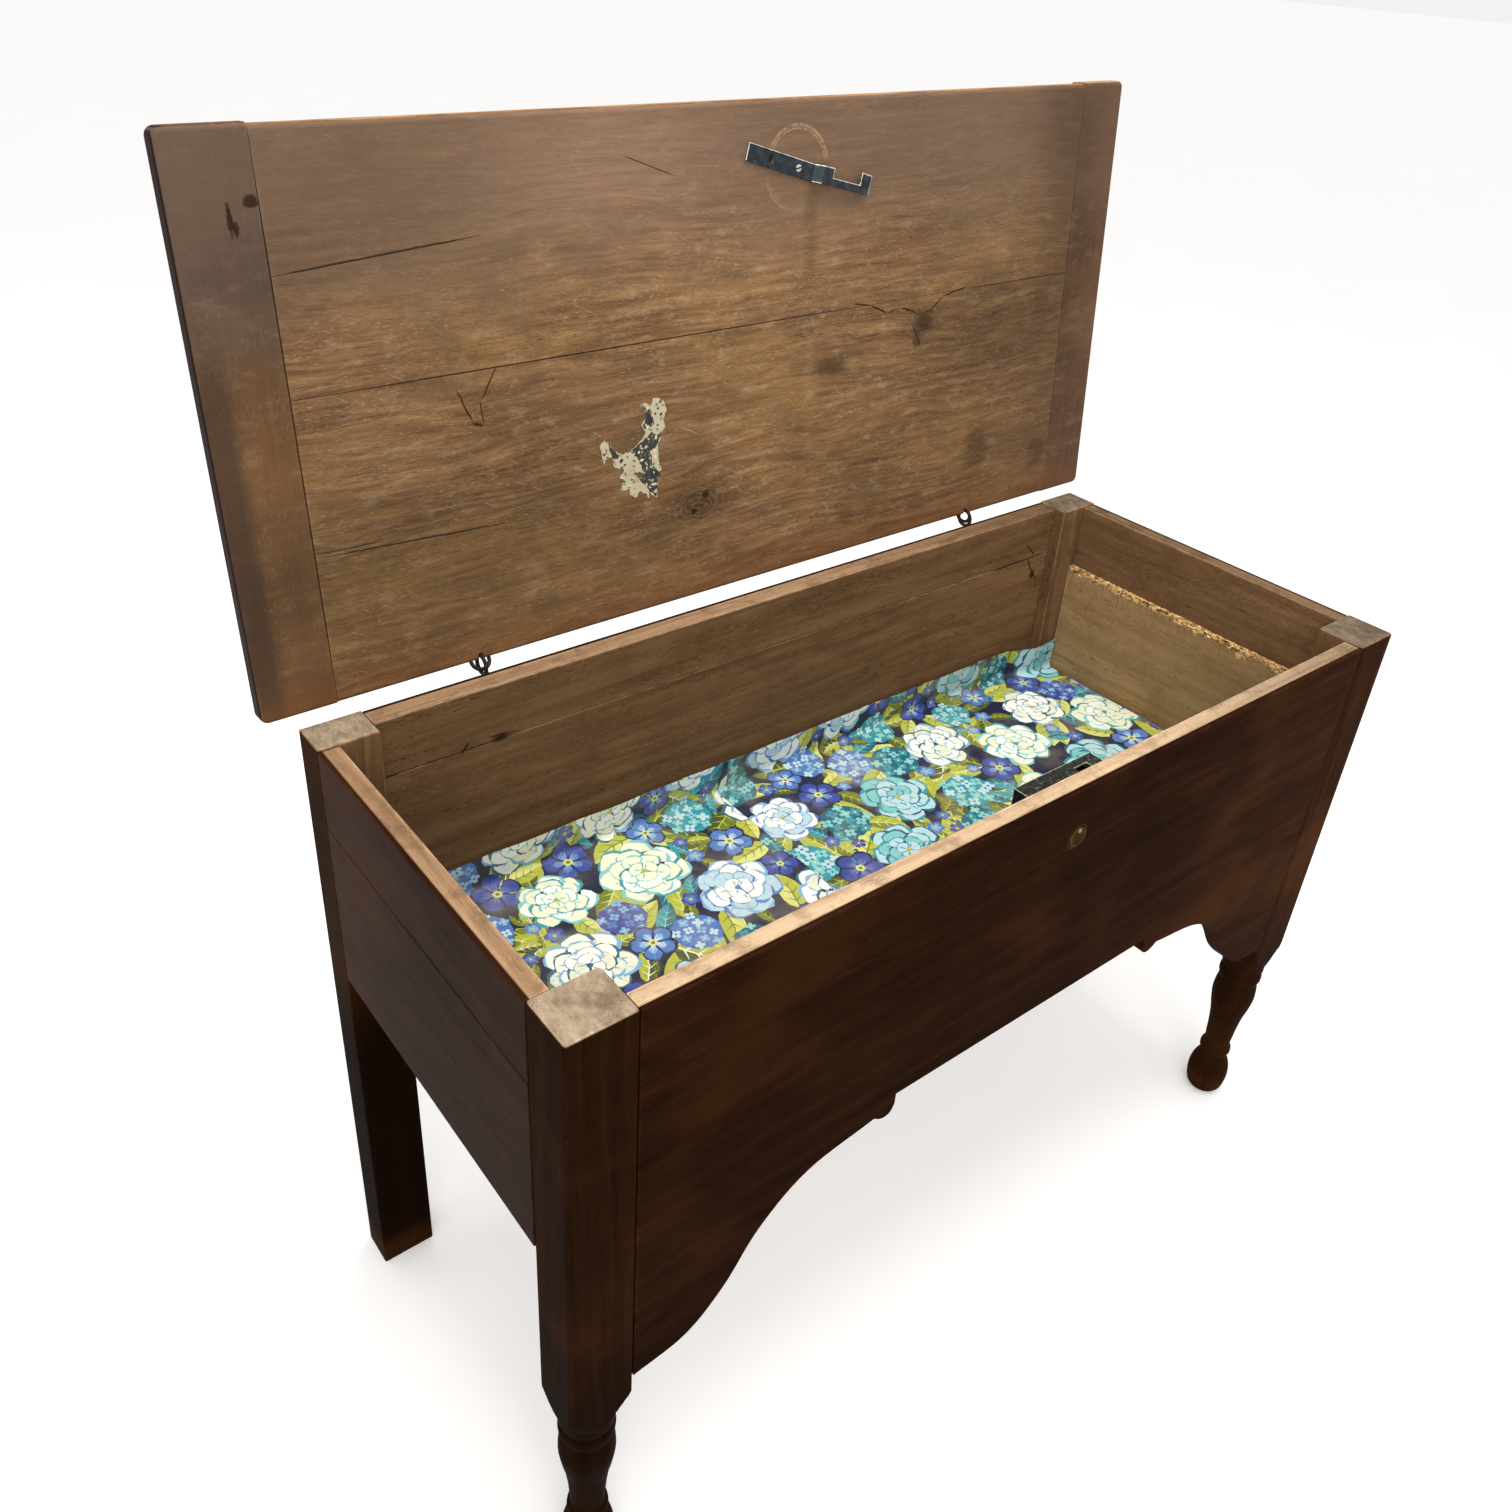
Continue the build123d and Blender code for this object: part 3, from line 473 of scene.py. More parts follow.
arris_group, given, made = new_group(
    "arris_wear", {"Reach": 0.006, "Patchiness": 0.5, "Vector": "Vector"}, ("Worn",))
to_low, to_high = split(stored("near_low")), split(stored("near_high"))
gaps = [smallest(to_low[i], to_high[i]) for i in range(3)]
smaller = smallest(gaps[0], gaps[1])
larger = largest(gaps[0], gaps[1])
edge_distance = largest(smaller, smallest(larger, gaps[2]))
patch = cloud(given["Vector"], 38.0, 4.0, 0.65)
patch = times(minus(patch, 0.5), given["Patchiness"])
fade = divide(edge_distance, given["Reach"])
worn = smooth(plus(fade, times(patch, 4.0)), 1.0, 0.0)
give(made["Worn"], worn)
print("groups:", [g.name for g in bpy.data.node_groups])

# %% Crack and spot groups
crack_group, given, made = new_group(
    "crack_line",
    {"Vector": "Vector", "From": "Vector", "To": "Vector", "Width": 1.0, "Wander": 3.0}, ("Crack",))
wander = cloud(given["Vector"], (0.05, 0.06, 0.06), 5.0, 0.72)
wander = times(minus(wander, 0.5), given["Wander"])
shifted = vector_calc("ADD", given["Vector"], combine(Y=wander))
flat_place = vector_calc("MULTIPLY", shifted, (1.0, 1.0, 0.0))
along = vector_calc("SUBTRACT", given["To"], given["From"])
reach = vector_calc("SUBTRACT", flat_place, given["From"])
share = divide(vector_calc("DOT_PRODUCT", reach, along), vector_calc("DOT_PRODUCT", along, along),
               clamp=True)
nearest = add("ShaderNodeVectorMath", {0: along}, operation="SCALE")
give(nearest.inputs["Scale"], share)
distance = vector_calc("DISTANCE", reach, nearest.outputs["Vector"])
taper = times(given["Width"], smooth(absolute(minus(share, 0.5)), 0.5, 0.3, 0.25, 1.0))
crack = smooth(divide(distance, taper), 1.0, 0.35)
give(made["Crack"], crack)

spot_group, given, made = new_group(
    "soft_spot",
    {"Vector": "Vector", "Middle": "Vector", "Radius": (10, 10, 1), "Softness": 0.5,
     "Raggedness": 0.4}, ("Spot",))
reach = vector_calc("DIVIDE", vector_calc("SUBTRACT", given["Vector"], given["Middle"]),
                    given["Radius"])
reach = vector_calc("LENGTH", vector_calc("MULTIPLY", reach, (1.0, 1.0, 0.0)))
ragged = cloud(given["Vector"], (0.03, 0.12, 0.12), 4.0, 0.6)
ragged = times(minus(ragged, 0.5), given["Raggedness"])
reach = plus(reach, times(ragged, 2.0))
inner = minus(1.0, given["Softness"])
spot = smooth(reach, plus(1.0, given["Softness"]), inner)
give(made["Spot"], spot)

surface_group, given, made = new_group(
    "aged_surface", {"Place": "Vector", "Grain": "Vector"}, ("Mottle", "Flecks", "Scratches"))
mottle = cloud(given["Place"], (0.014, 0.022, 0.022), 7.0, 0.72)
fleck_field = cloud(given["Grain"], (170.0, 800.0, 800.0), 3.0, 0.6)
fleck_zone = cloud(given["Place"], (0.02, 0.03, 0.03), 4.0, 0.7)
flecks = times(smooth(fleck_field, 0.56, 0.68), smooth(fleck_zone, 0.38, 0.62))
slanted = add("ShaderNodeVectorRotate", {"Vector": given["Place"], "Angle": 0.5},
              rotation_type="Z_AXIS").outputs[0]
scratch_field = cloud(slanted, (0.02, 1.1, 1.1), 1.0, 0.4)
scratch_zone = cloud(slanted, (0.05, 0.05, 0.05), 2.0, 0.6)
scratches = times(smooth(scratch_field, 0.68, 0.74), smooth(scratch_zone, 0.5, 0.62))
for socket, value in (("Mottle", mottle), ("Flecks", flecks), ("Scratches", scratches)):
    give(made[socket], value)
print("groups:", [g.name for g in bpy.data.node_groups])


# %% The case's timber
def grain_of(vector, width=1.0, waviness=1.0, runs=3.0):
    return use_group(grain_group, {"Vector": vector, "Streak Width": width, "Waviness": waviness,
                                   "Runs": runs})


def wood_tone(figure, dark, middle, light):
    """Colours a grain figure with three tones."""
    tone = add("ShaderNodeValToRGB", {"Fac": figure["Streaks"]})
    stops = tone.color_ramp.elements
    stops[0].position, stops[0].color = 0.30, (*dark, 1)
    stops[1].position, stops[1].color = 0.72, (*light, 1)
    stops.new(0.5).color = (*middle, 1)
    return layers(tone.outputs["Color"], ((times(figure["Fibres"], 0.55), dark),
                                          (times(figure["Pores"], 0.75), scaled(dark, 0.25))))


OUTER_TONES = ((0.0082, 0.0027, 0.0008), (0.015, 0.0052, 0.0015), (0.026, 0.0092, 0.0027))
# The ends get lighter tones than the front: painted light, for the grey sheen on the ends.
SHEENED_END_TONES = ((0.0105, 0.0036, 0.0014), (0.019, 0.0069, 0.0027), (0.032, 0.0118, 0.0048))
RIM_TONES = ((0.19, 0.11, 0.058), (0.31, 0.19, 0.108), (0.43, 0.29, 0.17))
INNER_TONES = ((0.088, 0.046, 0.021), (0.145, 0.080, 0.038), (0.21, 0.122, 0.062))
PALE_TONES = ((0.185, 0.112, 0.048), (0.275, 0.174, 0.081), (0.365, 0.24, 0.121))

UNDER_CASE = 476.0


def by_place(place):
    """How much a point belongs to the varnished outside, and its painted shade under the chest."""
    parts = split(place)
    to_end = minus(HALF_LENGTH, absolute(parts["X"]))
    to_back = minus(DEPTH, parts["Y"])
    shell = smallest(to_end, smallest(parts["Y"], to_back))
    skin = times(smooth(shell, 6.0, 4.0), smooth(parts["Z"], HEIGHT - 0.6, HEIGHT - 1.6))
    below = smooth(parts["Z"], UNDER_CASE, UNDER_CASE - 10.0)
    # Painted shade under the chest: it grows below the case, towards the rear and down the legs,
    # and stops just above the floor.
    under = smooth(parts["Z"], UNDER_CASE, 330.0)
    rearward = smooth(parts["Y"], 60.0, 400.0, 0.0, 0.85)
    legward = smooth(parts["Z"], 400.0, 240.0, 0.0, 0.55)
    shade = times(under, largest(rearward, legward))
    shade = times(shade, smooth(parts["Z"], 20.0, 48.0))
    return largest(skin, below), shade


def case_timber(name, outer=OUTER_TONES, rim=RIM_TONES, inner=INNER_TONES, sheen=0.003, marks=()):
    """Dark varnish outside, a rubbed top edge and bare wood inside."""
    material, shader = new_material(name, specular=sheen)
    grain, place = stored("grain"), stored("chest_place")
    side = add("ShaderNodeSeparateColor", {0: stored("side", "Color")}).outputs
    figure = grain_of(grain, 0.6, 0.7)
    surface = use_group(surface_group, {"Place": place, "Grain": grain})
    flecks, scratches = surface["Flecks"], surface["Scratches"]
    shell, shade = by_place(place)
    # Painted light: towards the right end the varnished outside and the bare inside are made
    # lighter. The top edge is made darker there.
    right_end = smooth(split(place)["X"], 60.0, 480.0)
    warm = cloud(place, (0.004, 0.004, 0.006), 3.0, 0.6)
    # The outside also takes the painted shade under the chest.
    outside = layers(wood_tone(figure, *outer), (
        ((warm, 0.45, 0.72, 0.5), scaled(outer[2], 1.5)),
        (times(scratches, 0.4), scaled(outer[2], 3)),
        (shade, (0.004, 0.0018, 0.0009))))
    outside = revalue(outside, plus(1.0, times(right_end, 0.95)))
    inside = layers(wood_tone(figure, *inner), (
        ((surface["Mottle"], 0.45, 0.7, 0.65), inner[0]),
        (times(flecks, 0.4), scaled(inner[2], 1.5)),
        (times(scratches, 0.35), scaled(inner[2], 1.9))))
    inside = revalue(inside, plus(1.0, times(right_end, 0.28)))
    inside, height = case_marks(place, inside, figure["Height"], marks)
    grime = cloud(place, (0.03, 0.03, 0.03), 4.0, 0.65)
    top = layers(wood_tone(figure, *rim), (
        ((grime, 0.48, 0.68, 0.6), scaled(rim[0], 0.7)),
        (times(flecks, 0.4), scaled(rim[2], 1.3))))
    top = revalue(top, minus(1.0, times(right_end, 0.45)))
    varnished = largest(smooth(side["Red"], 0.45, 0.9), shell)
    color = layers(inside, (((side["Green"], 0.45, 0.9, 1.0), top), (varnished, outside)))
    worn = use_group(arris_group, {"Reach": 0.0022, "Patchiness": 0.9, "Vector": grain})
    color = blend(times(worn["Worn"], 0.55), color, revalue(color, 1.9, 0.9))
    rough = plus(smooth(varnished, 0.4, 0.9, 0.62, 0.42), times(figure["Fibres"], 0.16))
    feed(shader, color, rough, height, 0.35, 0.0006)
    return material


def case_marks(place, inside, height, marks):
    """Cracks and knots at their own places on the back's inner face."""
    if not marks:
        return inside, height
    parts = split(place)
    upright = combine(X=parts["X"], Y=parts["Z"])
    for kind, first, second, width in marks:
        if kind == "crack":
            mark = use_group(crack_group, {
                "Vector": upright, "From": (*first, 0), "To": (*second, 0), "Width": width,
                "Wander": 4.0})["Crack"]
        else:
            mark = use_group(spot_group, {"Vector": upright, "Middle": (*first, 0),
                                          "Radius": (*second, 1)})["Spot"]
        inside = blend(times(mark, 0.85), inside, (0.012, 0.007, 0.004))
        height = minus(height, times(mark, 2.0))
    return inside, height


BACK_MARKS = (
    ("knot", (-357, 678), (9, 5), 0), ("crack", (-401, 674), (-392, 684), 2.0),
    ("crack", (-505, 676.5), (-340, 676.5), 0.9), ("crack", (-370, 683), (-335, 679), 1.0),
    ("crack", (376, 676), (486, 677), 1.6), ("crack", (440, 700), (462, 678), 1.3),
    ("crack", (448, 676), (462, 652), 1.8), ("knot", (463, 650), (5, 6), 0),
    ("crack", (462, 652), (474, 640), 1.2),
)
case_wood = case_timber("old_dark_varnish")
back_wood = case_timber("old_dark_back", marks=BACK_MARKS)
# The ends: lighter tones that paint their sheen, and a slightly higher specular level.
side_wood = case_timber("old_dark_ends", outer=SHEENED_END_TONES, sheen=0.012)
FRONT_RIM_TONES = ((0.30, 0.20, 0.12), (0.50, 0.35, 0.22), (0.66, 0.48, 0.32))
front_wood = case_timber("old_dark_front", rim=FRONT_RIM_TONES)
POST_TOP_TONES = ((0.17, 0.12, 0.08), (0.31, 0.24, 0.165), (0.46, 0.37, 0.26))
post_wood = case_timber("old_dark_posts", rim=POST_TOP_TONES)
print("timber:", case_wood.name, post_wood.name)

# %% [markdown]
# ## The case's boards
# The top rail and the boards of the back and the ends are plain boards. Each takes its height and
# thickness from its solid. The posts' faces give its length, so its hidden tongues are left out.

# %% Case boards
FRONT_POST = (64.0, 55.0)
REAR_POST = (62.0, 44.0)
JOINT_GAP = 0.4


def between_posts(node, post_width):
    """A long board's box without its tongues."""
    low, high = box_mm(node)
    reach = HALF_LENGTH - post_width - JOINT_GAP
    low.x, high.x = -reach, reach
    return low, high


def between_front_and_rear(node):
    low, high = box_mm(node)
    low.y = FRONT_POST[1] + JOINT_GAP
    high.y = DEPTH - REAR_POST[1] - JOINT_GAP
    return low, high


def case_board(node, limits, grain_axis, outward, material=case_wood):
    shape = plain_board(*limits)
    open_top = [(0, 0, 1)] if limits[1].z > HEIGHT - 20 else []
    mesh = finish_timber(shape, node + "_worn", grain_axis, [outward], up=open_top)
    return new_piece(node + "_worn", mesh, "case", "dark_wood", material, node)


case_board("front_top_rail", between_posts("front_top_rail", FRONT_POST[0]), "X", (0, -1, 0),
           front_wood)
for node in ("back_upper_board", "back_lower_board"):
    case_board(node, between_posts(node, REAR_POST[0]), "X", (0, 1, 0), back_wood)
for hand, way in (("left", -1), ("right", 1)):
    for level in ("upper", "lower"):
        node = f"{hand}_side_{level}_board"
        if node != "right_side_lower_board":
            case_board(node, between_front_and_rear(node), "Y", (way, 0, 0), side_wood)

# %% [markdown]
# ## The apron
# The wide front board is sawn to an arch: a long hollow runs down to each leg, and a small cusp
# marks where the straight middle begins. It could be drawn as one closed curve and filled, but a
# polygon of points on smooth runs is easier to bevel, so its sawn arris can be rubbed like the
# others.

# %% Apron panel
PANEL_BOTTOM = 462.0
ARCH_FOOT = 170.0
ARCH_REACH = 296.0
CUSP_STEP = 17.5
CUSP_DROP = 7.0
CUSP_WIDTH = 26.0


def smooth_run(points, steps):
    """Points on a smooth curve through the given points."""
    curve = []
    for i in range(len(points) - 1):
        start, end = Vector(points[i]), Vector(points[i + 1])
        before = Vector(points[max(i - 1, 0)])
        after = Vector(points[min(i + 2, len(points) - 1)])
        lead = (end - before) / (6.0 if i else 3.0)
        trail = (after - start) / (6.0 if i + 2 < len(points) else 3.0)
        for step in range(steps):
            t = step / steps
            curve.append(start * (1 - t) ** 3 + (start + lead) * 3 * t * (1 - t) ** 2
                         + (end - trail) * 3 * t * t * (1 - t) + end * t ** 3)
    return curve + [Vector(points[-1])]


def arch_half():
    """(across from the post, below the straight edge), from the leg to the straight middle."""
    shares = ((0, 1), (0.19, 0.945), (0.33, 0.74), (0.46, 0.42), (0.64, 0.19))
    hollow = [(a * ARCH_REACH, b * ARCH_FOOT) for a, b in shares]
    hollow.append((ARCH_REACH - CUSP_WIDTH, CUSP_STEP))
    nose = [(ARCH_REACH - CUSP_WIDTH * share, CUSP_STEP + CUSP_DROP * drop)
            for share, drop in ((0.72, 0.75), (0.42, 1.0), (0.16, 0.6), (0.0, -0.6))]
    cusp = smooth_run([hollow[-1]] + nose, 3)[1:]
    return smooth_run(hollow, 7) + cusp + [Vector((ARCH_REACH, 0))]


def prism(outline, thickness):
    """A board in the XZ plane, from its front face at Y = 0 back."""
    shape = bmesh.new()
    front = [shape.verts.new((x, 0, z)) for x, z in outline]
    back = [shape.verts.new((x, thickness, z)) for x, z in outline]
    shape.faces.new(front)
    shape.faces.new(back[::-1])
    count = len(outline)
    for i in range(count):
        shape.faces.new((front[i], back[i], back[(i + 1) % count], front[(i + 1) % count]))
    bmesh.ops.recalc_face_normals(shape, faces=shape.faces)
    return shape


apron_end = HALF_LENGTH - FRONT_POST[0] - JOINT_GAP
apron_low, apron_high = box_mm("front_apron_panel")
arch = [(across - apron_end, PANEL_BOTTOM - below) for across, below in arch_half()]
outline = ([(-apron_end, apron_high.z)] + arch + [(-x, z) for x, z in arch[::-1]]
           + [(apron_end, apron_high.z)])
apron = prism(outline, apron_high.y - apron_low.y)
sawn = [edge for edge in apron.edges if abs(edge.verts[0].co.y - edge.verts[1].co.y) < 0.1]
round_edges(apron, 1.0, edges=sawn)
mesh = finish_timber(apron, "front_apron_worn", "X", [(0, -1, 0)], up=())
new_piece("front_apron_worn", mesh, "case", "dark_wood", case_wood, "front_apron_panel")
print("apron outline points:", len(outline))

# %% [markdown]
# ## The turned front posts
# A lathe leaves every level of a leg round, while the blank's flat faces cut whatever is wider than
# they are. Geometry Nodes can say just that: the outline is a line of points with a radius each,
# Curve to Mesh spins it, and Set Position then pulls in every point that lies outside the square
# blank. A high power of the two distances gives the blank its slightly rubbed corners.

# %% A tree that turns a post
def grown(name, group, points, settings):
    """Runs a geometry tree on a mesh and returns the mesh that it makes."""
    holder = linked(name, points)
    modifier = holder.modifiers.new(name, "NODES")
    modifier.node_group = group
    for socket in group.interface.items_tree:
        if socket.in_out == "INPUT" and socket.name in settings:
            modifier[socket.identifier] = settings[socket.name]
    mesh = bpy.data.meshes.new_from_object(
        holder.evaluated_get(bpy.context.evaluated_depsgraph_get()))
    holder.modifiers.remove(modifier)
    bpy.data.objects.remove(holder)
    return mesh


def real_and_coated(geometry, material, output):
    """Ends a geometry tree: real geometry, with its material set."""
    real = add("GeometryNodeRealizeInstances", {"Geometry": geometry})
    skin = add("GeometryNodeSetMaterial", {"Geometry": real.outputs[0], "Material": material})
    give(output, skin.outputs[0])


post_tree, given, made = new_group("turned_post", {
    "Geometry": "Geometry", "Half Width": 0.032, "Half Depth": 0.0275, "Squareness": 24.0,
    "Segments": 96, "Material": "Material"}, ("Geometry",), "Geometry", "GeometryNodeTree")
radius = add("GeometryNodeInputNamedAttribute", {"Name": "turned_radius"},
             data_type="FLOAT").outputs["Attribute"]
line = add("GeometryNodeMeshToCurve", {"Mesh": given["Geometry"]})
ring = add("GeometryNodeCurvePrimitiveCircle", {"Resolution": given["Segments"], "Radius": 1.0})
spun = add("GeometryNodeCurveToMesh", {
    "Curve": line.outputs[0], "Profile Curve": ring.outputs["Curve"], "Scale": radius,
    "Fill Caps": True})
place = add("GeometryNodeInputPosition").outputs[0]
parts = split(place)
powers = [calc("POWER", absolute(divide(parts[axis], given[half])), given["Squareness"])
          for axis, half in (("X", "Half Width"), ("Y", "Half Depth"))]
outside = calc("POWER", plus(*powers), divide(1.0, given["Squareness"]))
shrink = divide(1.0, largest(outside, 1.0))
pulled = vector_calc("MULTIPLY", place, combine(X=shrink, Y=shrink, Z=1.0))
shaped = add("GeometryNodeSetPosition", {"Geometry": spun.outputs[0], "Position": pulled})
real_and_coated(shaped.outputs[0], given["Material"], made["Geometry"])
print("post tree:", len(post_tree.nodes), "nodes")


# %% The turned outline and the posts
def leg_outline():
    """(radius, height) pairs from the floor to the top of the blank."""
    ball = smooth_run([(15.0, 0.0), (20.6, 3.6), (24.6, 12.5), (26.5, 31.0), (24.4, 47.5),
                       (20.0, 58.6), (17.0, 64.0)], 5)
    neck = [Vector(p) for p in ((17.0, 69.0), (18.9, 70.3), (20.2, 73.4), (20.4, 76.5),
                                (19.9, 80.0), (18.9, 82.6), (17.5, 84.0))]
    vase = smooth_run([(17.5, 84.0), (16.9, 91.0), (17.5, 98.0), (18.9, 119.0), (21.6, 142.0),
                       (24.7, 158.0), (27.0, 174.0), (27.3, 182.0), (26.5, 194.0), (24.6, 205.0)],
                      4)
    bead = [Vector(p) for p in ((24.6, 207.0), (25.9, 209.6), (27.0, 213.4), (27.2, 216.5),
                                (27.0, 219.6), (25.9, 223.4), (24.6, 226.0), (24.6, 228.0),
                                (26.8, 230.0), (26.8, 240.0))]
    shoulder = smooth_run([(26.8, 240.0), (29.0, 247.0), (33.5, 257.5), (43.2, 272.0)], 7)[1:]
    blank = [Vector((60.0, height)) for height in (290.0, 400.0, 520.0, 640.0, HEIGHT - 1.4)]
    return ball + neck + vase[1:] + bead + shoulder + blank


def spin_post(half_width, half_depth):
    """Runs the tree on the outline and returns the post as a bmesh in drawn millimetres."""
    outline = leg_outline()
    line_mesh = bpy.data.meshes.new("leg_outline")
    line_mesh.from_pydata([(0, 0, height) for _, height in outline],
                          [(i, i + 1) for i in range(len(outline) - 1)], [])
    radii = line_mesh.attributes.new("turned_radius", "FLOAT", "POINT")
    radii.data.foreach_set("value", [radius for radius, _ in outline])
    shape = bmesh.new()
    shape.from_mesh(grown("leg_outline", post_tree, line_mesh, {
        "Half Width": half_width, "Half Depth": half_depth, "Material": post_wood}))
    bmesh.ops.remove_doubles(shape, verts=shape.verts, dist=0.0001)
    return shape


def ease_top(shape, depth=1.4):
    """Adds the eased end grain over the last ring of a blank."""
    top = max(shape.faces, key=lambda face: face.calc_center_median().z)
    bmesh.ops.inset_individual(shape, faces=[top], thickness=depth, depth=depth)


for hand, way in (("left", -1), ("right", 1)):
    post = spin_post(FRONT_POST[0] / 2, FRONT_POST[1] / 2)
    ease_top(post)
    middle = Vector((way * (HALF_LENGTH - FRONT_POST[0] / 2), FRONT_POST[1] / 2, 0))
    bmesh.ops.translate(post, verts=post.verts, vec=middle)
    mesh = finish_timber(post, f"front_{hand}_post_worn", "Z", [(way, 0, 0), (0, -1, 0)],
                         dark_below=PANEL_BOTTOM)
    new_piece(f"front_{hand}_post_worn", mesh, "case", "dark_wood", post_wood, f"front_{hand}_post")
    limits = box_mm(f"rear_{hand}_post")
    post = plain_board(*limits, radius=2.0)
    mesh = finish_timber(post, f"rear_{hand}_post_worn", "Z", [(way, 0, 0), (0, 1, 0)],
                         dark_below=PANEL_BOTTOM)
    new_piece(f"rear_{hand}_post_worn", mesh, "case", "dark_wood", post_wood, f"rear_{hand}_post")

# %% [markdown]
# ## The lid's boards
# The lid's shape is already right in the solids, with its rounded edges and the slots for the
# hinges. Each board is read back into drawn millimetres, turned shut, and given the same stored
# facts as the other boards, so one material can place knots, cracks and stains on it by measured
# marks.

# %% Lid boards
LID_HALF = HALF_LENGTH + 28.0
LID_LOW = Vector((-LID_HALF, -29.0, HEIGHT + 1.4))
LID_HIGH = Vector((LID_HALF, LID_REAR, HEIGHT + 23.4))
BREADBOARD = 73.0


def solid_shape(node, place):
    """A solid's own faces, in drawn millimetres."""
    shape = bmesh.new()
    shape.from_mesh(bpy.data.objects[node].data)
    bmesh.ops.remove_doubles(shape, verts=shape.verts, dist=0.000001)
    bmesh.ops.transform(shape, matrix=to_frame(place).inverted(), verts=shape.verts)
    return shape


# %% The lid's timber
KNOTS = ((-77, 107, 17, 0.75), (-337, 265, 15, 0.25), (255, 264, 19, 0.4))
LID_CRACKS = (((-505, 292), (180, 292), 0.9, 0.0), ((326, 292), (505, 292), 0.7, 0.0),
              ((-504, 395), (-314, 410), 1.3, 2.5), ((-501, 148), (-313, 139), 1.1, 3.0),
              ((-505, 152), (-440, 150), 0.8, 2.0), ((-307, 293), (-327, 264), 1.2, 12.0),
              ((-351, 279), (-337, 243), 1.3, 15.0), ((-337, 243), (-327, 239), 1.6, 4.0),
              ((-326, 240), (-328, 264), 1.0, 14.0), ((142, 296), (168, 291), 1.3, 2.0),
              ((168, 291), (194, 279), 1.4, 4.0), ((194, 279), (214, 284), 1.0, 10.0),
              ((214, 284), (244, 272), 1.2, 12.0), ((262, 272), (284, 288), 1.5, 5.0),
              ((284, 288), (326, 295), 1.3, 3.0), ((236, 262), (252, 232), 1.0, 14.0),
              ((-531, 453), (-526, 427), 1.2, 9.0), ((505, 10), (505, 500), 0.7, 0.0),
              ((-505, 2), (-505, 503), 1.0, 0.0), ((-158, 468), (-99, 446), 0.7, 1.0),)
LID_STAINS = (((-511, 454), (6, 5), 0.95), ((-530, 441), (2.4, 12), 0.95),
              ((-526, 434), (2.2, 6), 0.9), ((109, 231), (24, 10), 0.6),
              ((253, 262), (14, 11), 0.7), ((245, 242), (6, 12), 0.6), ((362, 87), (22, 30), 0.4),
              ((480, 60), (14, 22), 0.4), ((76, 380), (9, 55), 0.25), ((19, 455), (5, 5), 0.95),
              ((-84, 101), (4, 3), 0.95), ((-68, 116), (5, 4), 0.9), ((498, 374), (1.6, 30), 0.0),)
SHARP_STAIN = 0.85
# Painted light and shade on the lid's inner face: soft spots that make it lighter, as a glare in
# the middle, or darker.
LID_LIGHT_AND_SHADE = (
    ((-174, 461), (120, 55), 0.42), ((-14, 345), (115, 42), 0.32), ((-5, 150), (45, 38), 0.3),
    ((-420, 115), (190, 75), -0.26), ((389, 238), (95, 50), -0.36), ((-498, 392), (45, 38), -0.2),
    ((500, 330), (50, 190), -0.3), ((40, 60), (110, 30), 0.18), ((-60, 320), (230, 100), 0.15),
    ((60, 190), (180, 70), 0.16), ((-430, 450), (140, 60), -0.18), ((470, 470), (70, 50), -0.2),
)


def spot_at(place, middle, radius, softness, raggedness):
    """A soft spot on the lid."""
    return use_group(spot_group, {"Vector": place, "Middle": (*middle, 0), "Radius": (*radius, 1),
                                  "Softness": softness, "Raggedness": raggedness})["Spot"]


def knot_marks(place, x, v, radius):
    """Rings round a knot, and how strongly they show."""
    spot = spot_at(place, (x, v), (radius * 1.9, radius), 0.8, 0.5)
    offset = vector_calc("MULTIPLY", vector_calc("SUBTRACT", place, (x, v, 0)), (0.55, 1.0, 0.0))
    wobble = cloud(place, (0.05, 0.09, 0.0), 3.0)
    distance = plus(vector_calc("LENGTH", offset), times(wobble, 16.0))
    return spot, smooth(calc("SINE", times(distance, 1.25)), -0.3, 0.9)


def end_board_tones(inside, parts, broad):
    """The left cross piece: grey towards the front, brown at the rear, dark along its end."""
    drift = plus(parts["Y"], times(broad, 60.0))
    rear = smooth(drift, 400.0, 320.0)
    tint = blend(rear, screen(78, 65, 57), screen(94, 66, 44))
    inside = blend(0.55, inside, tint)
    dark = times(smooth(parts["X"], -546.0, -562.0, 0.0, 0.75), rear)
    return blend(dark, inside, screen(54, 42, 36))


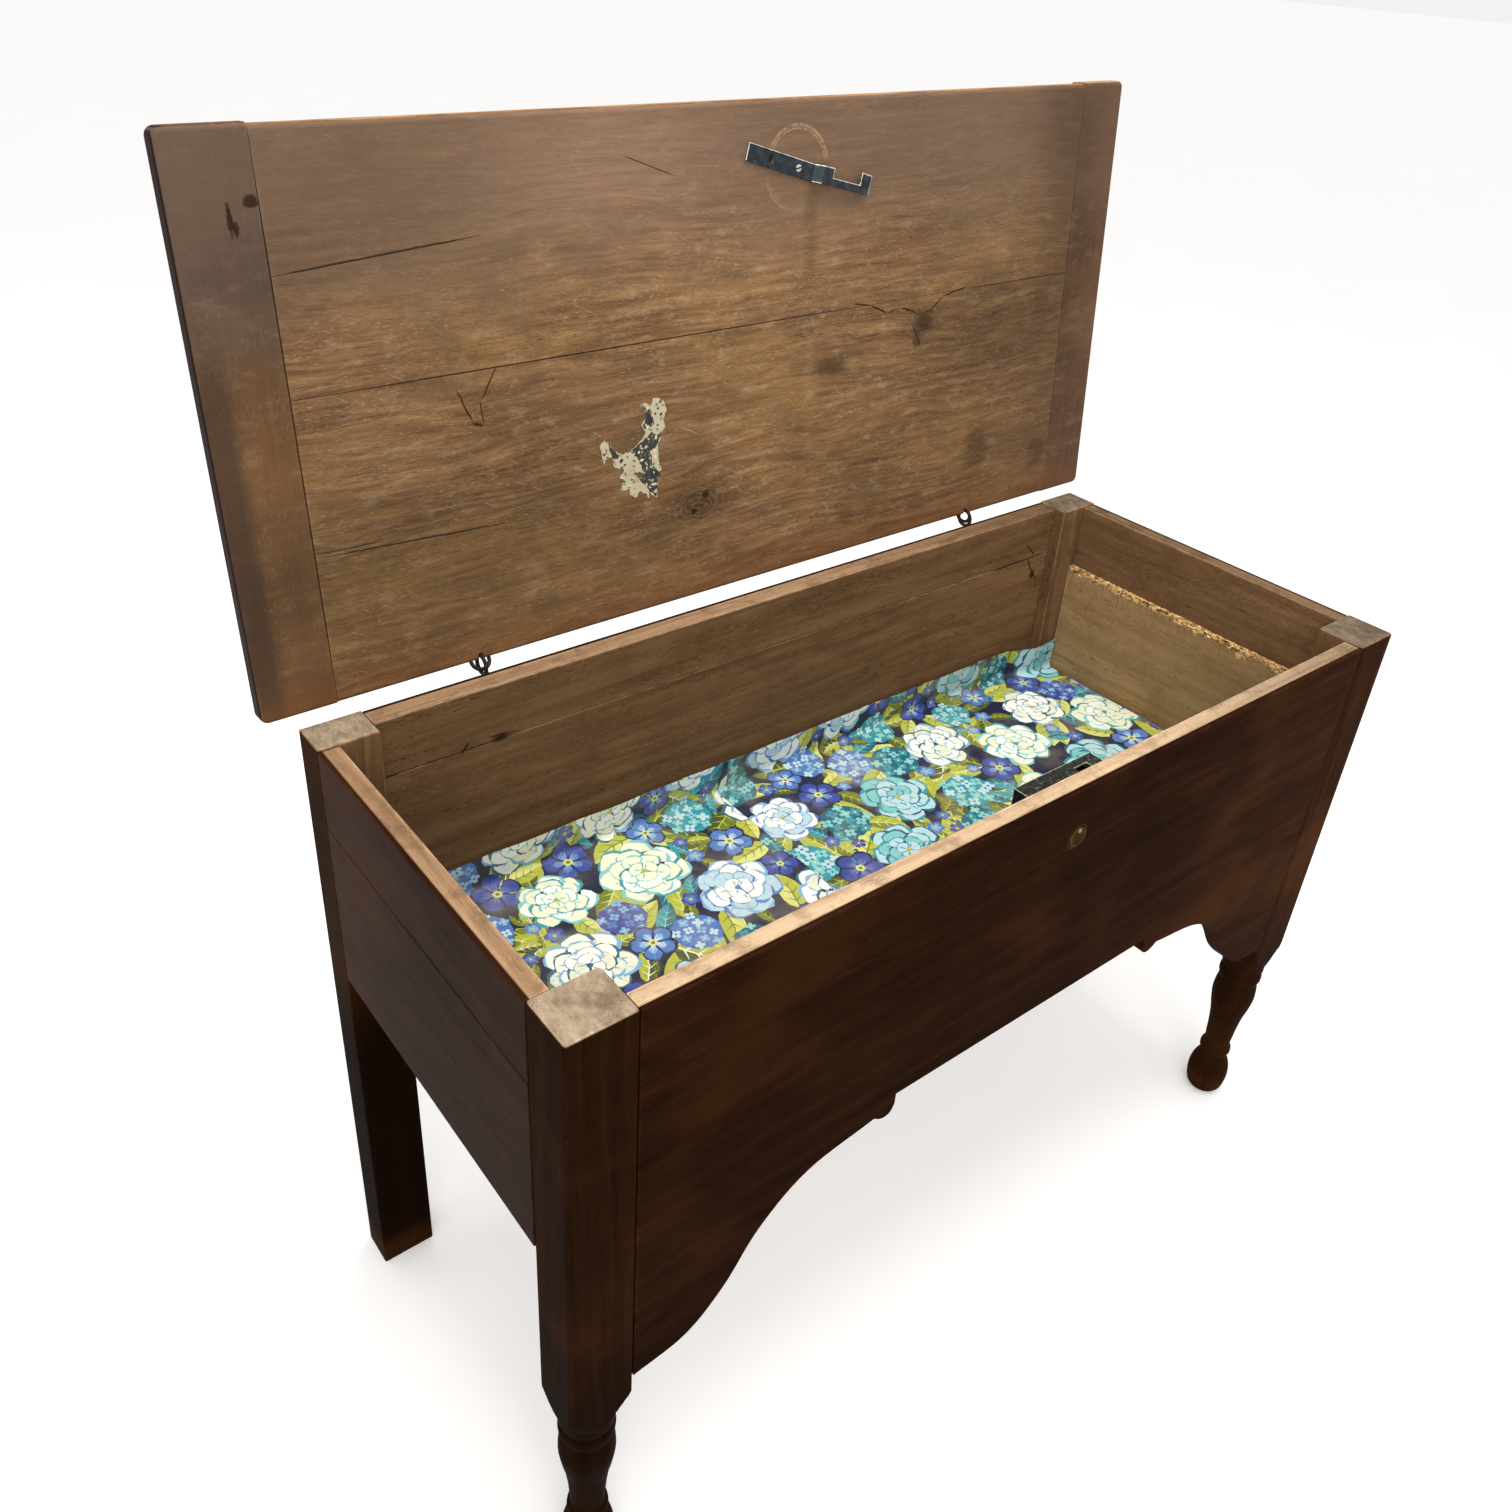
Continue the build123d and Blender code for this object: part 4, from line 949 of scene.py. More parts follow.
def lid_timber(name, middle_tones, scratched=0.35, left_end=False):
    """Bare, smoky wood with knots, cracks and stains at their own places on the lid.

    It also gets painted light and shade: lighter and darker spots, and a grey sheen.
    """
    material, shader = new_material(name, specular=0.03)
    grain, place = stored("grain"), stored("lid_place")
    side = add("ShaderNodeSeparateColor", {0: stored("side", "Color")}).outputs
    parts = split(place)
    figure = grain_of(grain, 0.42, 1.3, 9.0)
    surface = use_group(surface_group, {"Place": place, "Grain": grain})
    broad = cloud(place, (0.0035, 0.007, 0.0), 4.0, 0.6)
    stripes = cloud(place, (0.009, 0.045, 0.0), 6.0, 0.7)
    fine = cloud(grain, (28.0, 420.0, 420.0), 4.0, 0.7)
    # Grey patches: partly dust, partly a painted grey sheen.
    dust_and_sheen = cloud(place, (0.03, 0.07, 0.0), 6.0, 0.75)
    front_band = plus(parts["Y"], times(broad, 160.0))
    inside = layers(wood_tone(figure, *middle_tones), (
        ((broad, 0.42, 0.66, 0.6), screen(128, 97, 60)),
        ((stripes, 0.48, 0.7, 0.5), screen(82, 62, 46)),
        ((fine, 0.5, 0.66, 0.5), screen(66, 47, 34)),
        ((dust_and_sheen, 0.5, 0.7, 0.4), screen(150, 130, 106)),
        ((surface["Mottle"], 0.46, 0.68, 0.6), screen(84, 66, 47)),
        (times(surface["Flecks"], 0.4), screen(178, 142, 104)),
        (times(surface["Scratches"], scratched), screen(190, 160, 124)),
        ((front_band, 380.0, 540.0, 0.72), screen(97, 79, 68))))
    if left_end:
        inside = end_board_tones(inside, parts, broad)
    glow = plus(parts["Y"], times(broad, 60.0))
    inside = layers(inside, (((glow, 80.0, 8.0, 0.7), screen(104, 66, 38)),
                             ((parts["X"], 330.0, 600.0, 0.55), screen(88, 63, 50))))
    # Painted light and shade from the spots above.
    value = 1.0
    for middle, radius, change in LID_LIGHT_AND_SHADE:
        value = calc("MULTIPLY_ADD", spot_at(place, middle, radius, 0.85, 0.7), change, value)
    inside = revalue(inside, value)
    height = figure["Height"]
    for x, v, radius, strength in KNOTS:
        shown, rings = knot_marks(place, x, v, radius)
        knot_tone = blend(rings, screen(46, 34, 27), screen(92, 68, 48))
        inside = blend(times(shown, strength), inside, knot_tone)
    for middle, radius, strength in LID_STAINS:
        sharp = strength > SHARP_STAIN
        spot = spot_at(place, middle, radius, 0.25 if sharp else 0.6, 0.9)
        inside = blend(times(spot, strength), inside, screen(34, 22, 18))
        if sharp:
            height = minus(height, times(spot, 2.5))
    for start, end, width, wander in LID_CRACKS:
        line = use_group(crack_group, {"Vector": place, "From": (*start, 0), "To": (*end, 0),
                                       "Width": width, "Wander": wander})["Crack"]
        inside = blend(times(line, 0.9), inside, screen(26, 17, 13))
        height = minus(height, times(line, 2.5))
    outside = wood_tone(figure, *OUTER_TONES)
    edge = wood_tone(figure, screen(70, 44, 32), screen(96, 64, 46), screen(126, 90, 64))
    edge = blend(smooth(parts["X"], -560.0, -576.0), edge, screen(40, 28, 25))
    golden = times(smooth(parts["Y"], 508.5, 511.0), smooth(parts["X"], -507.0, -503.0))
    bare = wood_tone(figure, screen(120, 86, 54), screen(168, 126, 82), screen(208, 168, 118))
    handled = cloud(place, (0.012, 0.05, 0.09), 6.0, 0.7)
    bare = layers(bare, (((handled, 0.46, 0.62, 0.75), screen(98, 68, 46)),))
    edge = blend(golden, edge, bare)
    inside = blend(times(strap_scratches(place), 0.65), inside, screen(172, 138, 98))
    # A little grey is added all over: painted sheen, in place of a stronger specular.
    inside = blend(1.0, inside, (0.012, 0.0095, 0.0065), "ADD")
    color = layers(inside, (((side["Green"], 0.3, 0.8, 1.0), edge),
                            ((side["Red"], 0.3, 0.8, 1.0), outside)))
    worn = use_group(arris_group, {"Reach": 0.003, "Patchiness": 0.9, "Vector": grain})
    color = blend(times(worn["Worn"], 0.3), color, revalue(color, 1.5, 0.95))
    rough = plus(0.44, times(figure["Fibres"], 0.2))
    feed(shader, color, rough, height, 0.4, 0.0006)
    return material


STRAP_PIVOT = (55.5, 436.0 + 8.0)
ARC_RADII = (38.0, 40.6, 42.2)


def strap_scratches(place):
    """Arcs that the strap's bend and end have scratched round its screw."""
    offset = vector_calc("MULTIPLY", vector_calc("SUBTRACT", place, (*STRAP_PIVOT, 0)),
                         (1.0, 1.0, 0.0))
    parts = split(offset)
    distance = vector_calc("LENGTH", offset)
    angle = calc("ARCTAN2", parts["Y"], parts["X"])
    arcs = [smooth(absolute(minus(distance, radius)), 0.85, 0.2) for radius in ARC_RADII]
    total = largest(largest(arcs[0], arcs[1]), arcs[2])
    reach = smooth(absolute(minus(angle, 1.4)), 1.35, 1.0)
    faint = smooth(absolute(plus(angle, 2.4)), 0.7, 0.3, 0.0, 0.5)
    chips = cloud(place, (0.22, 0.22, 0.0), 3.0, 0.7)
    return times(times(total, largest(reach, faint)), smooth(chips, 0.35, 0.55))


LID_TONES = (screen(76, 55, 38), screen(114, 85, 58), screen(148, 114, 80))
LEFT_END_TONES = (screen(50, 37, 30), screen(70, 52, 40), screen(92, 70, 50))
RIGHT_END_TONES = (screen(48, 33, 26), screen(70, 49, 38), screen(96, 68, 50))
lid_wood = lid_timber("worn_lid_boards", LID_TONES)
left_end_wood = lid_timber("worn_lid_left_end", LEFT_END_TONES, 0.12, left_end=True)
right_end_wood = lid_timber("worn_lid_right_end", RIGHT_END_TONES, 0.2)
print("lid marks:", len(KNOTS), "knots,", len(LID_CRACKS), "cracks,", len(LID_STAINS), "stains")

# %% The lid's boards in place
lid_reach = LID_HALF - BREADBOARD
lid_pieces = {"lid_front_board": ("X", -lid_reach, lid_reach, lid_wood),
              "lid_rear_board": ("X", -lid_reach, lid_reach, lid_wood),
              "lid_left_breadboard": ("Y", -LID_HALF, -lid_reach, left_end_wood),
              "lid_right_breadboard": ("Y", lid_reach, LID_HALF, right_end_wood)}
for node, (grain_axis, x_low, x_high, timber) in lid_pieces.items():
    shape = solid_shape(node, OPENED)
    limits = (Vector((x_low, LID_LOW.y, LID_LOW.z)), Vector((x_high, LID_HIGH.y, LID_HIGH.z)))
    mesh = finish_timber(shape, node + "_worn", grain_axis, [(0, 0, 1)],
                         up=((0, -1, 0), (0, 1, 0), (1, 0, 0), (-1, 0, 0)), place=OPENED,
                         lid=True, limits=limits)
    new_piece(node + "_worn", mesh, "lid", "lid_wood", timber, node)
print("lid pieces:", list(lid_pieces))

# %% [markdown]
# ## The gnawed board
# Mice have chewed the top of the thick board inside the right end. The bites are too deep for a
# bump map, so the board is a grid of sections along its length, and each section gets its own
# bitten corner from noise. The bare, bitten wood is much lighter than the rest.

# %% Gnawed board
def gnawed_board(node, spacing=1.3, levels=11):
    """The thick end board, with bites out of its top inner corner."""
    low, high = between_front_and_rear(node)
    shape = bmesh.new()
    bites = []
    rows = []
    count = int((high.y - low.y) / spacing)
    for i in range(count + 1):
        y = low.y + (high.y - low.y) * i / count
        end_ease = min(1.0, i / 4, (count - i) / 4)
        bite = (noise.noise(Vector((y * 0.035, 4.0, 0))) * 0.5
                + noise.noise(Vector((y * 0.16, 9.0, 0))) * 0.35 + 0.55)
        bite = max(bite, 0.12) * end_ease
        down, inward = 16.0 * bite, 8.0 * bite
        ring = [(high.x, low.z), (low.x, low.z), (low.x, high.z - 60.0), (low.x, high.z - 26.0)]
        for k in range(levels + 1):
            turn = math.pi / 2 * k / levels
            crumb = (noise.noise(Vector((y * 0.30, k * 0.9, 2.0))) * 3.6
                     + noise.noise(Vector((y * 0.75, k * 1.9, 7.0))) * 2.0)
            crumb *= end_ease
            ring.append((low.x + inward * (1 - math.cos(turn)) + max(crumb, 0.0),
                         high.z - down * (1 - math.sin(turn)) - max(crumb, 0.0) * 0.7))
        ring += [((low.x + high.x) / 2 + 2.0, high.z), (high.x, high.z)]
        rows.append([shape.verts.new((x, y, z)) for x, z in ring])
        bites.append([0.0] * 3 + [0.05] + [0.35 + 0.6 * k / levels + 0.25 * bite
                                           for k in range(levels + 1)] + [0.5, 0.0])
    width = len(rows[0])
    for a, b in zip(rows, rows[1:]):
        for k in range(width):
            shape.faces.new((a[k], a[(k + 1) % width], b[(k + 1) % width], b[k]))
    shape.faces.new(rows[0][::-1])
    shape.faces.new(rows[-1])
    bmesh.ops.recalc_face_normals(shape, faces=shape.faces)
    return shape, [value for row in bites for value in row]


GOLDEN_TONES = (screen(158, 118, 68), screen(206, 164, 106), screen(238, 208, 152))
board, bitten = gnawed_board("right_side_lower_board")
mesh = finish_timber(board, "right_side_lower_gnawed", "Y", [(1, 0, 0)])
layer = mesh.attributes.new("bitten", "FLOAT", "POINT")
layer.data.foreach_set("value", bitten)


def gnawed_timber(name):
    """The pale board at the right end, bright where it is bitten."""
    material = case_timber(name, inner=PALE_TONES, rim=PALE_TONES)
    shader = material.node_tree.nodes["Principled BSDF"]
    color = shader.inputs["Base Color"].links[0].from_socket
    grain = stored("grain")
    crumbs = cloud(grain, 160.0, 4.0, 0.7)
    # Painted light on the bitten wood: the dark pits are painted shade, and the glints are painted
    # highlights.
    chewed = cloud(grain, (110.0, 240.0, 240.0), 5.0, 0.7)
    glints = cloud(grain, (130.0, 280.0, 280.0), 4.0, 0.7)
    shown = plus(stored("bitten", "Fac"), times(minus(crumbs, 0.5), 1.1))
    fresh = layers(wood_tone(grain_of(grain, 0.5), *GOLDEN_TONES), (
        ((chewed, 0.47, 0.59, 0.92), screen(80, 52, 30)),
        ((glints, 0.54, 0.64, 0.85), screen(250, 230, 184))))
    feed(shader, blend(smooth(shown, 0.45, 0.75), color, fresh))
    return material


new_piece("right_side_lower_gnawed", mesh, "case", "dark_wood", gnawed_timber("gnawed_timber"),
          "right_side_lower_board")
print("gnawed board vertices:", len(mesh.vertices))

# %% [markdown]
# ## Bottom boards and cleats
# The bottom rests on cleats nailed to the frame. Nobody varnished it, so it is plain grey-brown
# deal with the marks of the saw.

# %% Deal boards
def deal_timber(name):
    """Bare grey-brown deal with the marks of the saw."""
    material, shader = new_material(name)
    grain = stored("grain")
    figure = grain_of(grain, 1.6, 0.7)
    dust = cloud(grain, 9.0, 4.0, 0.6)
    color = wood_tone(figure, screen(88, 66, 46), screen(128, 98, 68), screen(158, 126, 90))
    color = layers(color, (((dust, 0.45, 0.75, 0.5), screen(112, 102, 90)),))
    saw = cloud(grain, (420.0, 6.0, 6.0), 2.0)
    feed(shader, color, plus(0.72, times(saw, 0.15)), plus(figure["Height"], saw), 0.4, 0.0005)
    return material


deal_wood = deal_timber("grey_deal")
for node in ("bottom_board_1", "bottom_board_2", "bottom_board_3"):
    mesh = finish_timber(solid_shape(node, Matrix.Identity(4)), node + "_sawn", "X", [(0, 0, -1)])
    new_piece(node + "_sawn", mesh, "case", "deal", deal_wood, node)
for node, grain_axis in (("front_cleat", "X"), ("back_cleat", "X"), ("left_cleat", "Y"),
                         ("right_cleat", "Y")):
    mesh = finish_timber(plain_board(*box_mm(node), radius=0.8), node + "_sawn", grain_axis,
                         [(0, 0, -1)])
    new_piece(node + "_sawn", mesh, "case", "deal", deal_wood, node)
print("deal boards and cleats are laid")

# %% [markdown]
# ## The printed paper
# The bottom is lined with sheets of flowered wallpaper that turn up against the back. A painted
# image would blur up close. Here the pattern is built as a printer would build it: each flower is a
# stack of flat stencils. All their outlines are cut into one layer by a constrained Delaunay
# triangulation, and each triangle takes the ink of the topmost stencil over it. The flowers are a
# common garden mix, drawn by a few rules and scattered with a fixed seed.

# %% Inks and stencils
GROUND = screen(24, 27, 58)
CREAM = screen(226, 229, 208)
WHITE = screen(236, 240, 238)
ICE = screen(176, 208, 224)
SKY_BLUE = screen(122, 168, 214)
MID_BLUE = screen(74, 112, 186)
ROYAL = screen(48, 66, 152)
VIOLET = screen(74, 74, 150)
TEAL = screen(44, 142, 158)
PALE_TEAL = screen(120, 192, 200)
DEEP_TEAL = screen(20, 92, 116)
LIME = screen(168, 176, 62)
PALE_LIME = screen(206, 210, 124)
OLIVE = screen(108, 116, 40)
DARK_OLIVE = screen(66, 76, 34)


Stencil = namedtuple("Stencil", "points tone streak middle turn")


def stamp(stack, points, tone, streak, middle, turn):
    """Lays one flat printed shape on a stack, with its streaks along a turn about a middle."""
    stack.append(Stencil(numpy.array(points), tone, streak, middle, turn))


def polar(middle, angle, distance):
    return (middle[0] + distance * math.cos(angle), middle[1] + distance * math.sin(angle))


def petal_points(middle, angle, base, reach, spread, ruffle, chance, steps=6):
    """A petal's outline: a ruffled front edge and a narrow base."""
    phase = chance.uniform(0, 6.3)
    points = [polar(middle, angle - spread * 0.45, base)]
    for i in range(steps + 1):
        across = 2.0 * i / steps - 1.0
        wave = 1.0 + ruffle * math.sin(phase + across * 5.5) + ruffle * chance.uniform(-0.4, 0.4)
        distance = reach * (1.0 - 0.26 * abs(across) ** 2.6) * wave
        points.append(polar(middle, angle + spread * across, distance))
    points.append(polar(middle, angle + spread * 0.45, base))
    return points


def sliver(middle, angle, start, end, width, bend=0.0):
    """A thin brush stroke along a ray."""
    half = math.atan2(width / 2, start + (end - start) * 0.4)
    halfway = (start + end) / 2
    return [polar(middle, angle, start), polar(middle, angle + half + bend / 2, halfway),
            polar(middle, angle + bend, end), polar(middle, angle - half + bend / 2, halfway)]


print("inks are mixed")


# %% Blooms
def full_bloom(stack, middle, size, chance):
    """A many-petalled pale bloom, from its outer ring in."""
    shades = chance.choice(((WHITE, CREAM, SKY_BLUE, DEEP_TEAL), (CREAM, WHITE, PALE_TEAL, TEAL),
                            (WHITE, ICE, SKY_BLUE, MID_BLUE), (ICE, PALE_TEAL, TEAL, DEEP_TEAL)))
    light, second, shade, dark = shades
    start = chance.uniform(0, 6.3)
    for share, inner, count in ((1.0, 0.62, 7), (0.79, 0.42, 6), (0.57, 0.22, 5), (0.34, 0.05, 3)):
        reach = size * share
        for i in range(count):
            angle = start + 2 * math.pi * i / count + chance.uniform(-0.12, 0.12)
            spread = math.pi / count * chance.uniform(1.05, 1.3)
            far = reach * chance.uniform(0.92, 1.04)
            outline = petal_points(middle, angle, size * inner, far, spread, 0.035, chance)
            stamp(stack, outline, dark if i % 2 else shade, shade, middle, angle)
            near = petal_points(middle, angle + 0.05, size * inner, far * 0.95, spread * 0.9, 0.03,
                                chance)
            tone = light if chance.random() < 0.62 else second
            stamp(stack, near, tone, second if tone == light else shade, middle, angle)
            ray = angle + chance.uniform(-0.5, 0.5) * spread
            stroke = sliver(middle, ray, size * inner, far * chance.uniform(0.7, 0.86),
                            size * 0.045, chance.uniform(-0.08, 0.08))
            stamp(stack, stroke, shade, shade, middle, angle)
        start += math.pi / count + 0.35
    heart = [polar(middle, 2 * math.pi * i / 9, size * 0.07) for i in range(9)]
    stamp(stack, heart, chance.choice((LIME, dark)), dark, middle, 0)


def open_blossom(stack, middle, size, chance):
    """A blue blossom of five broad petals with pale rays."""
    outer, inner, rays = chance.choice(((ROYAL, MID_BLUE, ICE), (MID_BLUE, SKY_BLUE, WHITE),
                                        (VIOLET, MID_BLUE, ICE), (ROYAL, VIOLET, SKY_BLUE)))
    start = chance.uniform(0, 6.3)
    small = size < 16
    for grow, tone in (((1.0, outer), (0.62, inner)) if small else ((1.06, GROUND),)):
        lobes = []
        for i in range(5):
            lobes += petal_points(middle, start + 2 * math.pi * i / 5, size * 0.3 * grow,
                                  size * grow, 0.62, 0.0, chance, 3 if small else 4)
        stamp(stack, lobes, tone, inner, middle, start)
    for i in range(0 if small else 5):
        angle = start + 2 * math.pi * i / 5
        far = size * chance.uniform(0.94, 1.02)
        body = petal_points(middle, angle, size * 0.1, far * 0.96, 0.58, 0.02, chance, 5)
        stamp(stack, body, outer, inner, middle, angle)
        throat = petal_points(middle, angle, size * 0.1, far * 0.6, 0.42, 0.05, chance, 3)
        stamp(stack, throat, inner, rays, middle, angle)
        for ray in (-0.3, 0.0, 0.3):
            reach = far * chance.uniform(0.52, 0.74)
            tip, half = polar(middle, angle + ray, reach), 0.1
            stroke = [polar(middle, angle + ray - half, size * 0.15), tip,
                      polar(middle, angle + ray + half, size * 0.15)]
            stamp(stack, stroke, rays, rays, middle, angle)
    for share, tone in ((0.2, PALE_LIME), (0.09, OLIVE)):
        eye = [polar(middle, 2 * math.pi * i / 7, size * share) for i in range(7)]
        stamp(stack, eye, tone, tone, middle, 0)


def floret_cluster(stack, middle, size, chance):
    """A round head of small four-petalled florets."""
    tones = chance.choice(((PALE_TEAL, ICE, TEAL), (SKY_BLUE, ICE, MID_BLUE),
                           (MID_BLUE, SKY_BLUE, ROYAL), (TEAL, PALE_TEAL, DEEP_TEAL)))
    back = [polar(middle, 2 * math.pi * i / 20, size * chance.uniform(0.86, 1.0))
            for i in range(20)]
    stamp(stack, back, tones[2], GROUND, middle, 0)
    count = int(size * 0.44)
    for i in range(count):
        place = polar(middle, i * 2.4, size * 0.9 * math.sqrt((i + 0.5) / count))
        turn = chance.uniform(0, 6.3)
        reach = size * chance.uniform(0.2, 0.25)
        star = [polar(place, turn + math.pi / 8 * k, reach * (0.98, 0.94, 0.5, 0.94)[k % 4])
                for k in range(16)]
        stamp(stack, star, tones[i % 2], tones[1], place, turn)
        dot = [polar(place, turn + math.pi / 2 * k, reach * 0.26) for k in range(4)]
        stamp(stack, dot, chance.choice((PALE_LIME, ROYAL)), LIME, place, 0)


print("blooms are drawn by rule")


# %% Leaves
def leaf(stack, base, angle, length, chance):
    """A pointed leaf with a shaded half, a pale rib and side veins."""
    light, dark, rib = chance.choice(((LIME, OLIVE, PALE_LIME), (OLIVE, DARK_OLIVE, LIME),
                                      (LIME, DARK_OLIVE, CREAM), (PALE_LIME, LIME, OLIVE),
                                      (TEAL, DEEP_TEAL, PALE_TEAL)))
    width = length * chance.uniform(0.2, 0.27)
    bow = chance.uniform(-0.12, 0.12) * length
    ahead = Vector((math.cos(angle), math.sin(angle)))
    aside = Vector((-ahead.y, ahead.x))

    def spot(along, across):
        point = (Vector(base) + ahead * along * length
                 + aside * (across * width + bow * math.sin(math.pi * along)))
        return tuple(point)

    def half_width(along):
        return math.sin(math.pi * min(along, 1.0) ** 0.8) ** 0.75

    steps = [i / 6 for i in range(7)]
    far_edge = [spot(t, -half_width(t)) for t in steps[5:0:-1]]
    edge = [spot(t, half_width(t)) for t in steps] + far_edge
    stamp(stack, edge, light, dark, base, angle)
    lower = [spot(t, 0) for t in steps[::3]] + far_edge
    stamp(stack, lower, dark, light, base, angle)
    spine = [spot(0, 0.07), spot(0.5, 0.05), spot(0.96, 0), spot(0.5, -0.05), spot(0, -0.07)]
    stamp(stack, spine, rib, rib, base, angle)
    for side in (-1, 1):
        for along in (0.2, 0.4, 0.6):
            tip = (along + 0.16, side * half_width(along + 0.16) * 0.82)
            vein = [spot(along - 0.012, 0), spot(*tip), spot(along + 0.03, 0)]
            stamp(stack, vein, rib, rib, base, angle)


def scattered(chance, span, taken, sizes, crowd, tries):
    """Throws darts and keeps those that stand clear of the blooms already there."""
    kept = []
    for _ in range(tries):
        size = chance.uniform(*sizes)
        place = (chance.uniform(*span[0]), chance.uniform(*span[1]))
        if all(math.dist(place, other) > (size + radius) * crowd for other, radius in taken):
            taken.append((place, size))
            kept.append((place, size))
    return kept


def flower_print(seed, span):
    """All stencils of one sheet, from the lowest up."""
    chance = random.Random(seed)
    taken = []
    groups = [(full_bloom, scattered(chance, span, taken, (43, 55), 1.0, 160)),
              (floret_cluster, scattered(chance, span, taken, (27, 36), 0.9, 220)),
              (open_blossom, scattered(chance, span, taken, (22, 29), 0.86, 900)),
              (open_blossom, scattered(chance, span, taken, (9, 13), 0.9, 700))]
    stack = []
    for place, size in taken:
        for _ in range(7 if size > 20 else 3):
            angle = chance.uniform(0, 6.3)
            length = chance.uniform(44, 72) if size > 20 else chance.uniform(26, 40)
            base = polar(place, angle, size * 0.75)
            way = angle + chance.uniform(-0.7, 0.7)
            middle = polar(base, way, length * 0.6)
            if all(math.dist(middle, other) > radius * 0.85 for other, radius in taken):
                leaf(stack, base, way, length, chance)
    for draw, places in (groups[1], groups[2], groups[3], groups[0]):
        for place, size in places:
            draw(stack, place, size, chance)
    return stack


print("stencils on a sheet of 0.4 m:", len(flower_print(1, ((0, 400), (0, 400)))))


# %% Cutting the stencils into one layer
def inside(polygon, points):
    """Which of the points lie inside a polygon."""
    found = numpy.zeros(len(points), dtype=bool)
    ahead = numpy.roll(polygon, -1, axis=0)
    for (ax, ay), (bx, by) in zip(polygon, ahead):
        crosses = (ay > points[:, 1]) != (by > points[:, 1])
        if crosses.any():
            reach = (bx - ax) * (points[:, 1] - ay) / ((by - ay) or 1.0) + ax
            found ^= crosses & (points[:, 0] < reach)
    return found


def touching(low, high, first, last):
    """Whether a box of two corners touches a tile."""
    return (low[0] < last[0] and high[0] > first[0] and low[1] < last[1] and high[1] > first[1])


def cut_tile(first, last, loops, runs, grid):
    """Triangulates one tile with all the lines that cross it."""
    points, lines = [], []
    tile = [first, (last[0], first[1]), last, (first[0], last[1])]
    closed_lines = [(loop, True) for loop in [tile] + loops]
    for line, closed in closed_lines + [(run, False) for run in runs]:
        start = len(points)
        points.extend(Vector(point) for point in line)
        lines.extend((start + i, start + i + 1) for i in range(len(line) - 1))
        if closed:
            lines.append((start + len(line) - 1, start))
    points.extend(Vector(p) for p in grid if touching(p, p, first, last))
    cut_points, _, cut_faces, *_ = delaunay_2d_cdt(points, lines, [], 0, 0.01, False)
    cut_points = numpy.array([tuple(point) for point in cut_points])
    triangles = numpy.array([face for face in cut_faces if len(face) == 3])
    middles = cut_points[triangles].mean(axis=1)
    kept = ((middles > first) & (middles < last)).all(axis=1)
    return cut_points, triangles[kept]


def cut_sheet(outline, stack, creases, grid, tile_size=110.0):
    """Triangulates a sheet tile by tile; returns points, triangles and the stencil over each."""
    outline = numpy.array(outline)
    low, high = outline.min(axis=0), outline.max(axis=0)
    counts = numpy.ceil((high - low) / tile_size).astype(int)
    step = (high - low) / counts
    boxes = [(stencil.points.min(axis=0), stencil.points.max(axis=0)) for stencil in stack]
    all_points, all_triangles, all_over = [], [], []
    for column in range(counts[0]):
        for row in range(counts[1]):
            first = low + step * (column, row)
            last = first + step
            here = [i for i, box in enumerate(boxes) if touching(*box, first, last)]
            loops = [outline] + [stack[i].points for i in here]
            points, triangles = cut_tile(tuple(first), tuple(last), loops, creases, grid)
            middles = points[triangles].mean(axis=1)
            triangles = triangles[inside(outline, middles)]
            middles = points[triangles].mean(axis=1)
            over = numpy.full(len(triangles), -1)
            for i in here:
                first_corner, last_corner = boxes[i]
                near = ((middles >= first_corner) & (middles <= last_corner)).all(axis=1)
                near = near.nonzero()[0]
                over[near[inside(stack[i].points, middles[near])]] = i
            all_triangles.append(triangles + sum(len(p) for p in all_points))
            all_points.append(points)
            all_over.append(over)
    return [numpy.concatenate(parts) for parts in (all_points, all_triangles, all_over)]


print("cutter is ready")

# %% The sheets' shape
FLOOR_TOP = box_mm("bottom_board_1")[1].z
BACK_WALL = box_mm("back_lower_board")[0].y
FOLD_RADIUS = 7.0
FOLD_ARC = FOLD_RADIUS * math.pi / 2
UPSTAND = 36.0
POST_EDGE = HALF_LENGTH - REAR_POST[0]


def ease(value):
    value = min(max(value, 0.0), 1.0)
    return value * value * (3 - 2 * value)


def fold_start(u):
    """Where the sheet starts to turn up: nearer to the front beside the rear posts."""
    return BACK_WALL - 8.6 - 17.5 * ease((abs(u) - 436.0) / 46.0)


def bend_paper(u, v, lift):
    """Takes a point of the flat sheet to its place on the bottom and up the back."""
    swell = noise.noise(Vector((u * 0.011, v * 0.014, 3.7))) * 1.5 + 0.6
    rise = FLOOR_TOP + 0.35 + lift + max(swell, 0.0)
    start = fold_start(u)
    turn = min(max((v - start) / FOLD_RADIUS, 0.0), math.pi / 2)
    beyond = max(v - start - FOLD_ARC, 0.0)
    lean = 0.03 + 0.05 * (1.0 + noise.noise(Vector((u * 0.02, 8.0, 0.0))))
    y = min(v, start) + FOLD_RADIUS * math.sin(turn) - beyond * lean
    return (u, y, rise + FOLD_RADIUS * (1 - math.cos(turn)) + beyond * math.sqrt(1 - lean ** 2))


def ragged_line(start, end, wander, seed, spacing=9.0):
    """A torn or badly cut edge between two points, without its end."""
    start, end = Vector(start), Vector(end)
    across = Vector((start.y - end.y, end.x - start.x)).normalized()
    count = max(int((end - start).length / spacing), 1)
    points = []
    for i in range(count):
        shift = noise.noise(Vector((i * 0.37, seed, 0.0))) * wander
        points.append(start.lerp(end, i / count) + across * (shift if i else 0.0))
    return [tuple(point) for point in points]


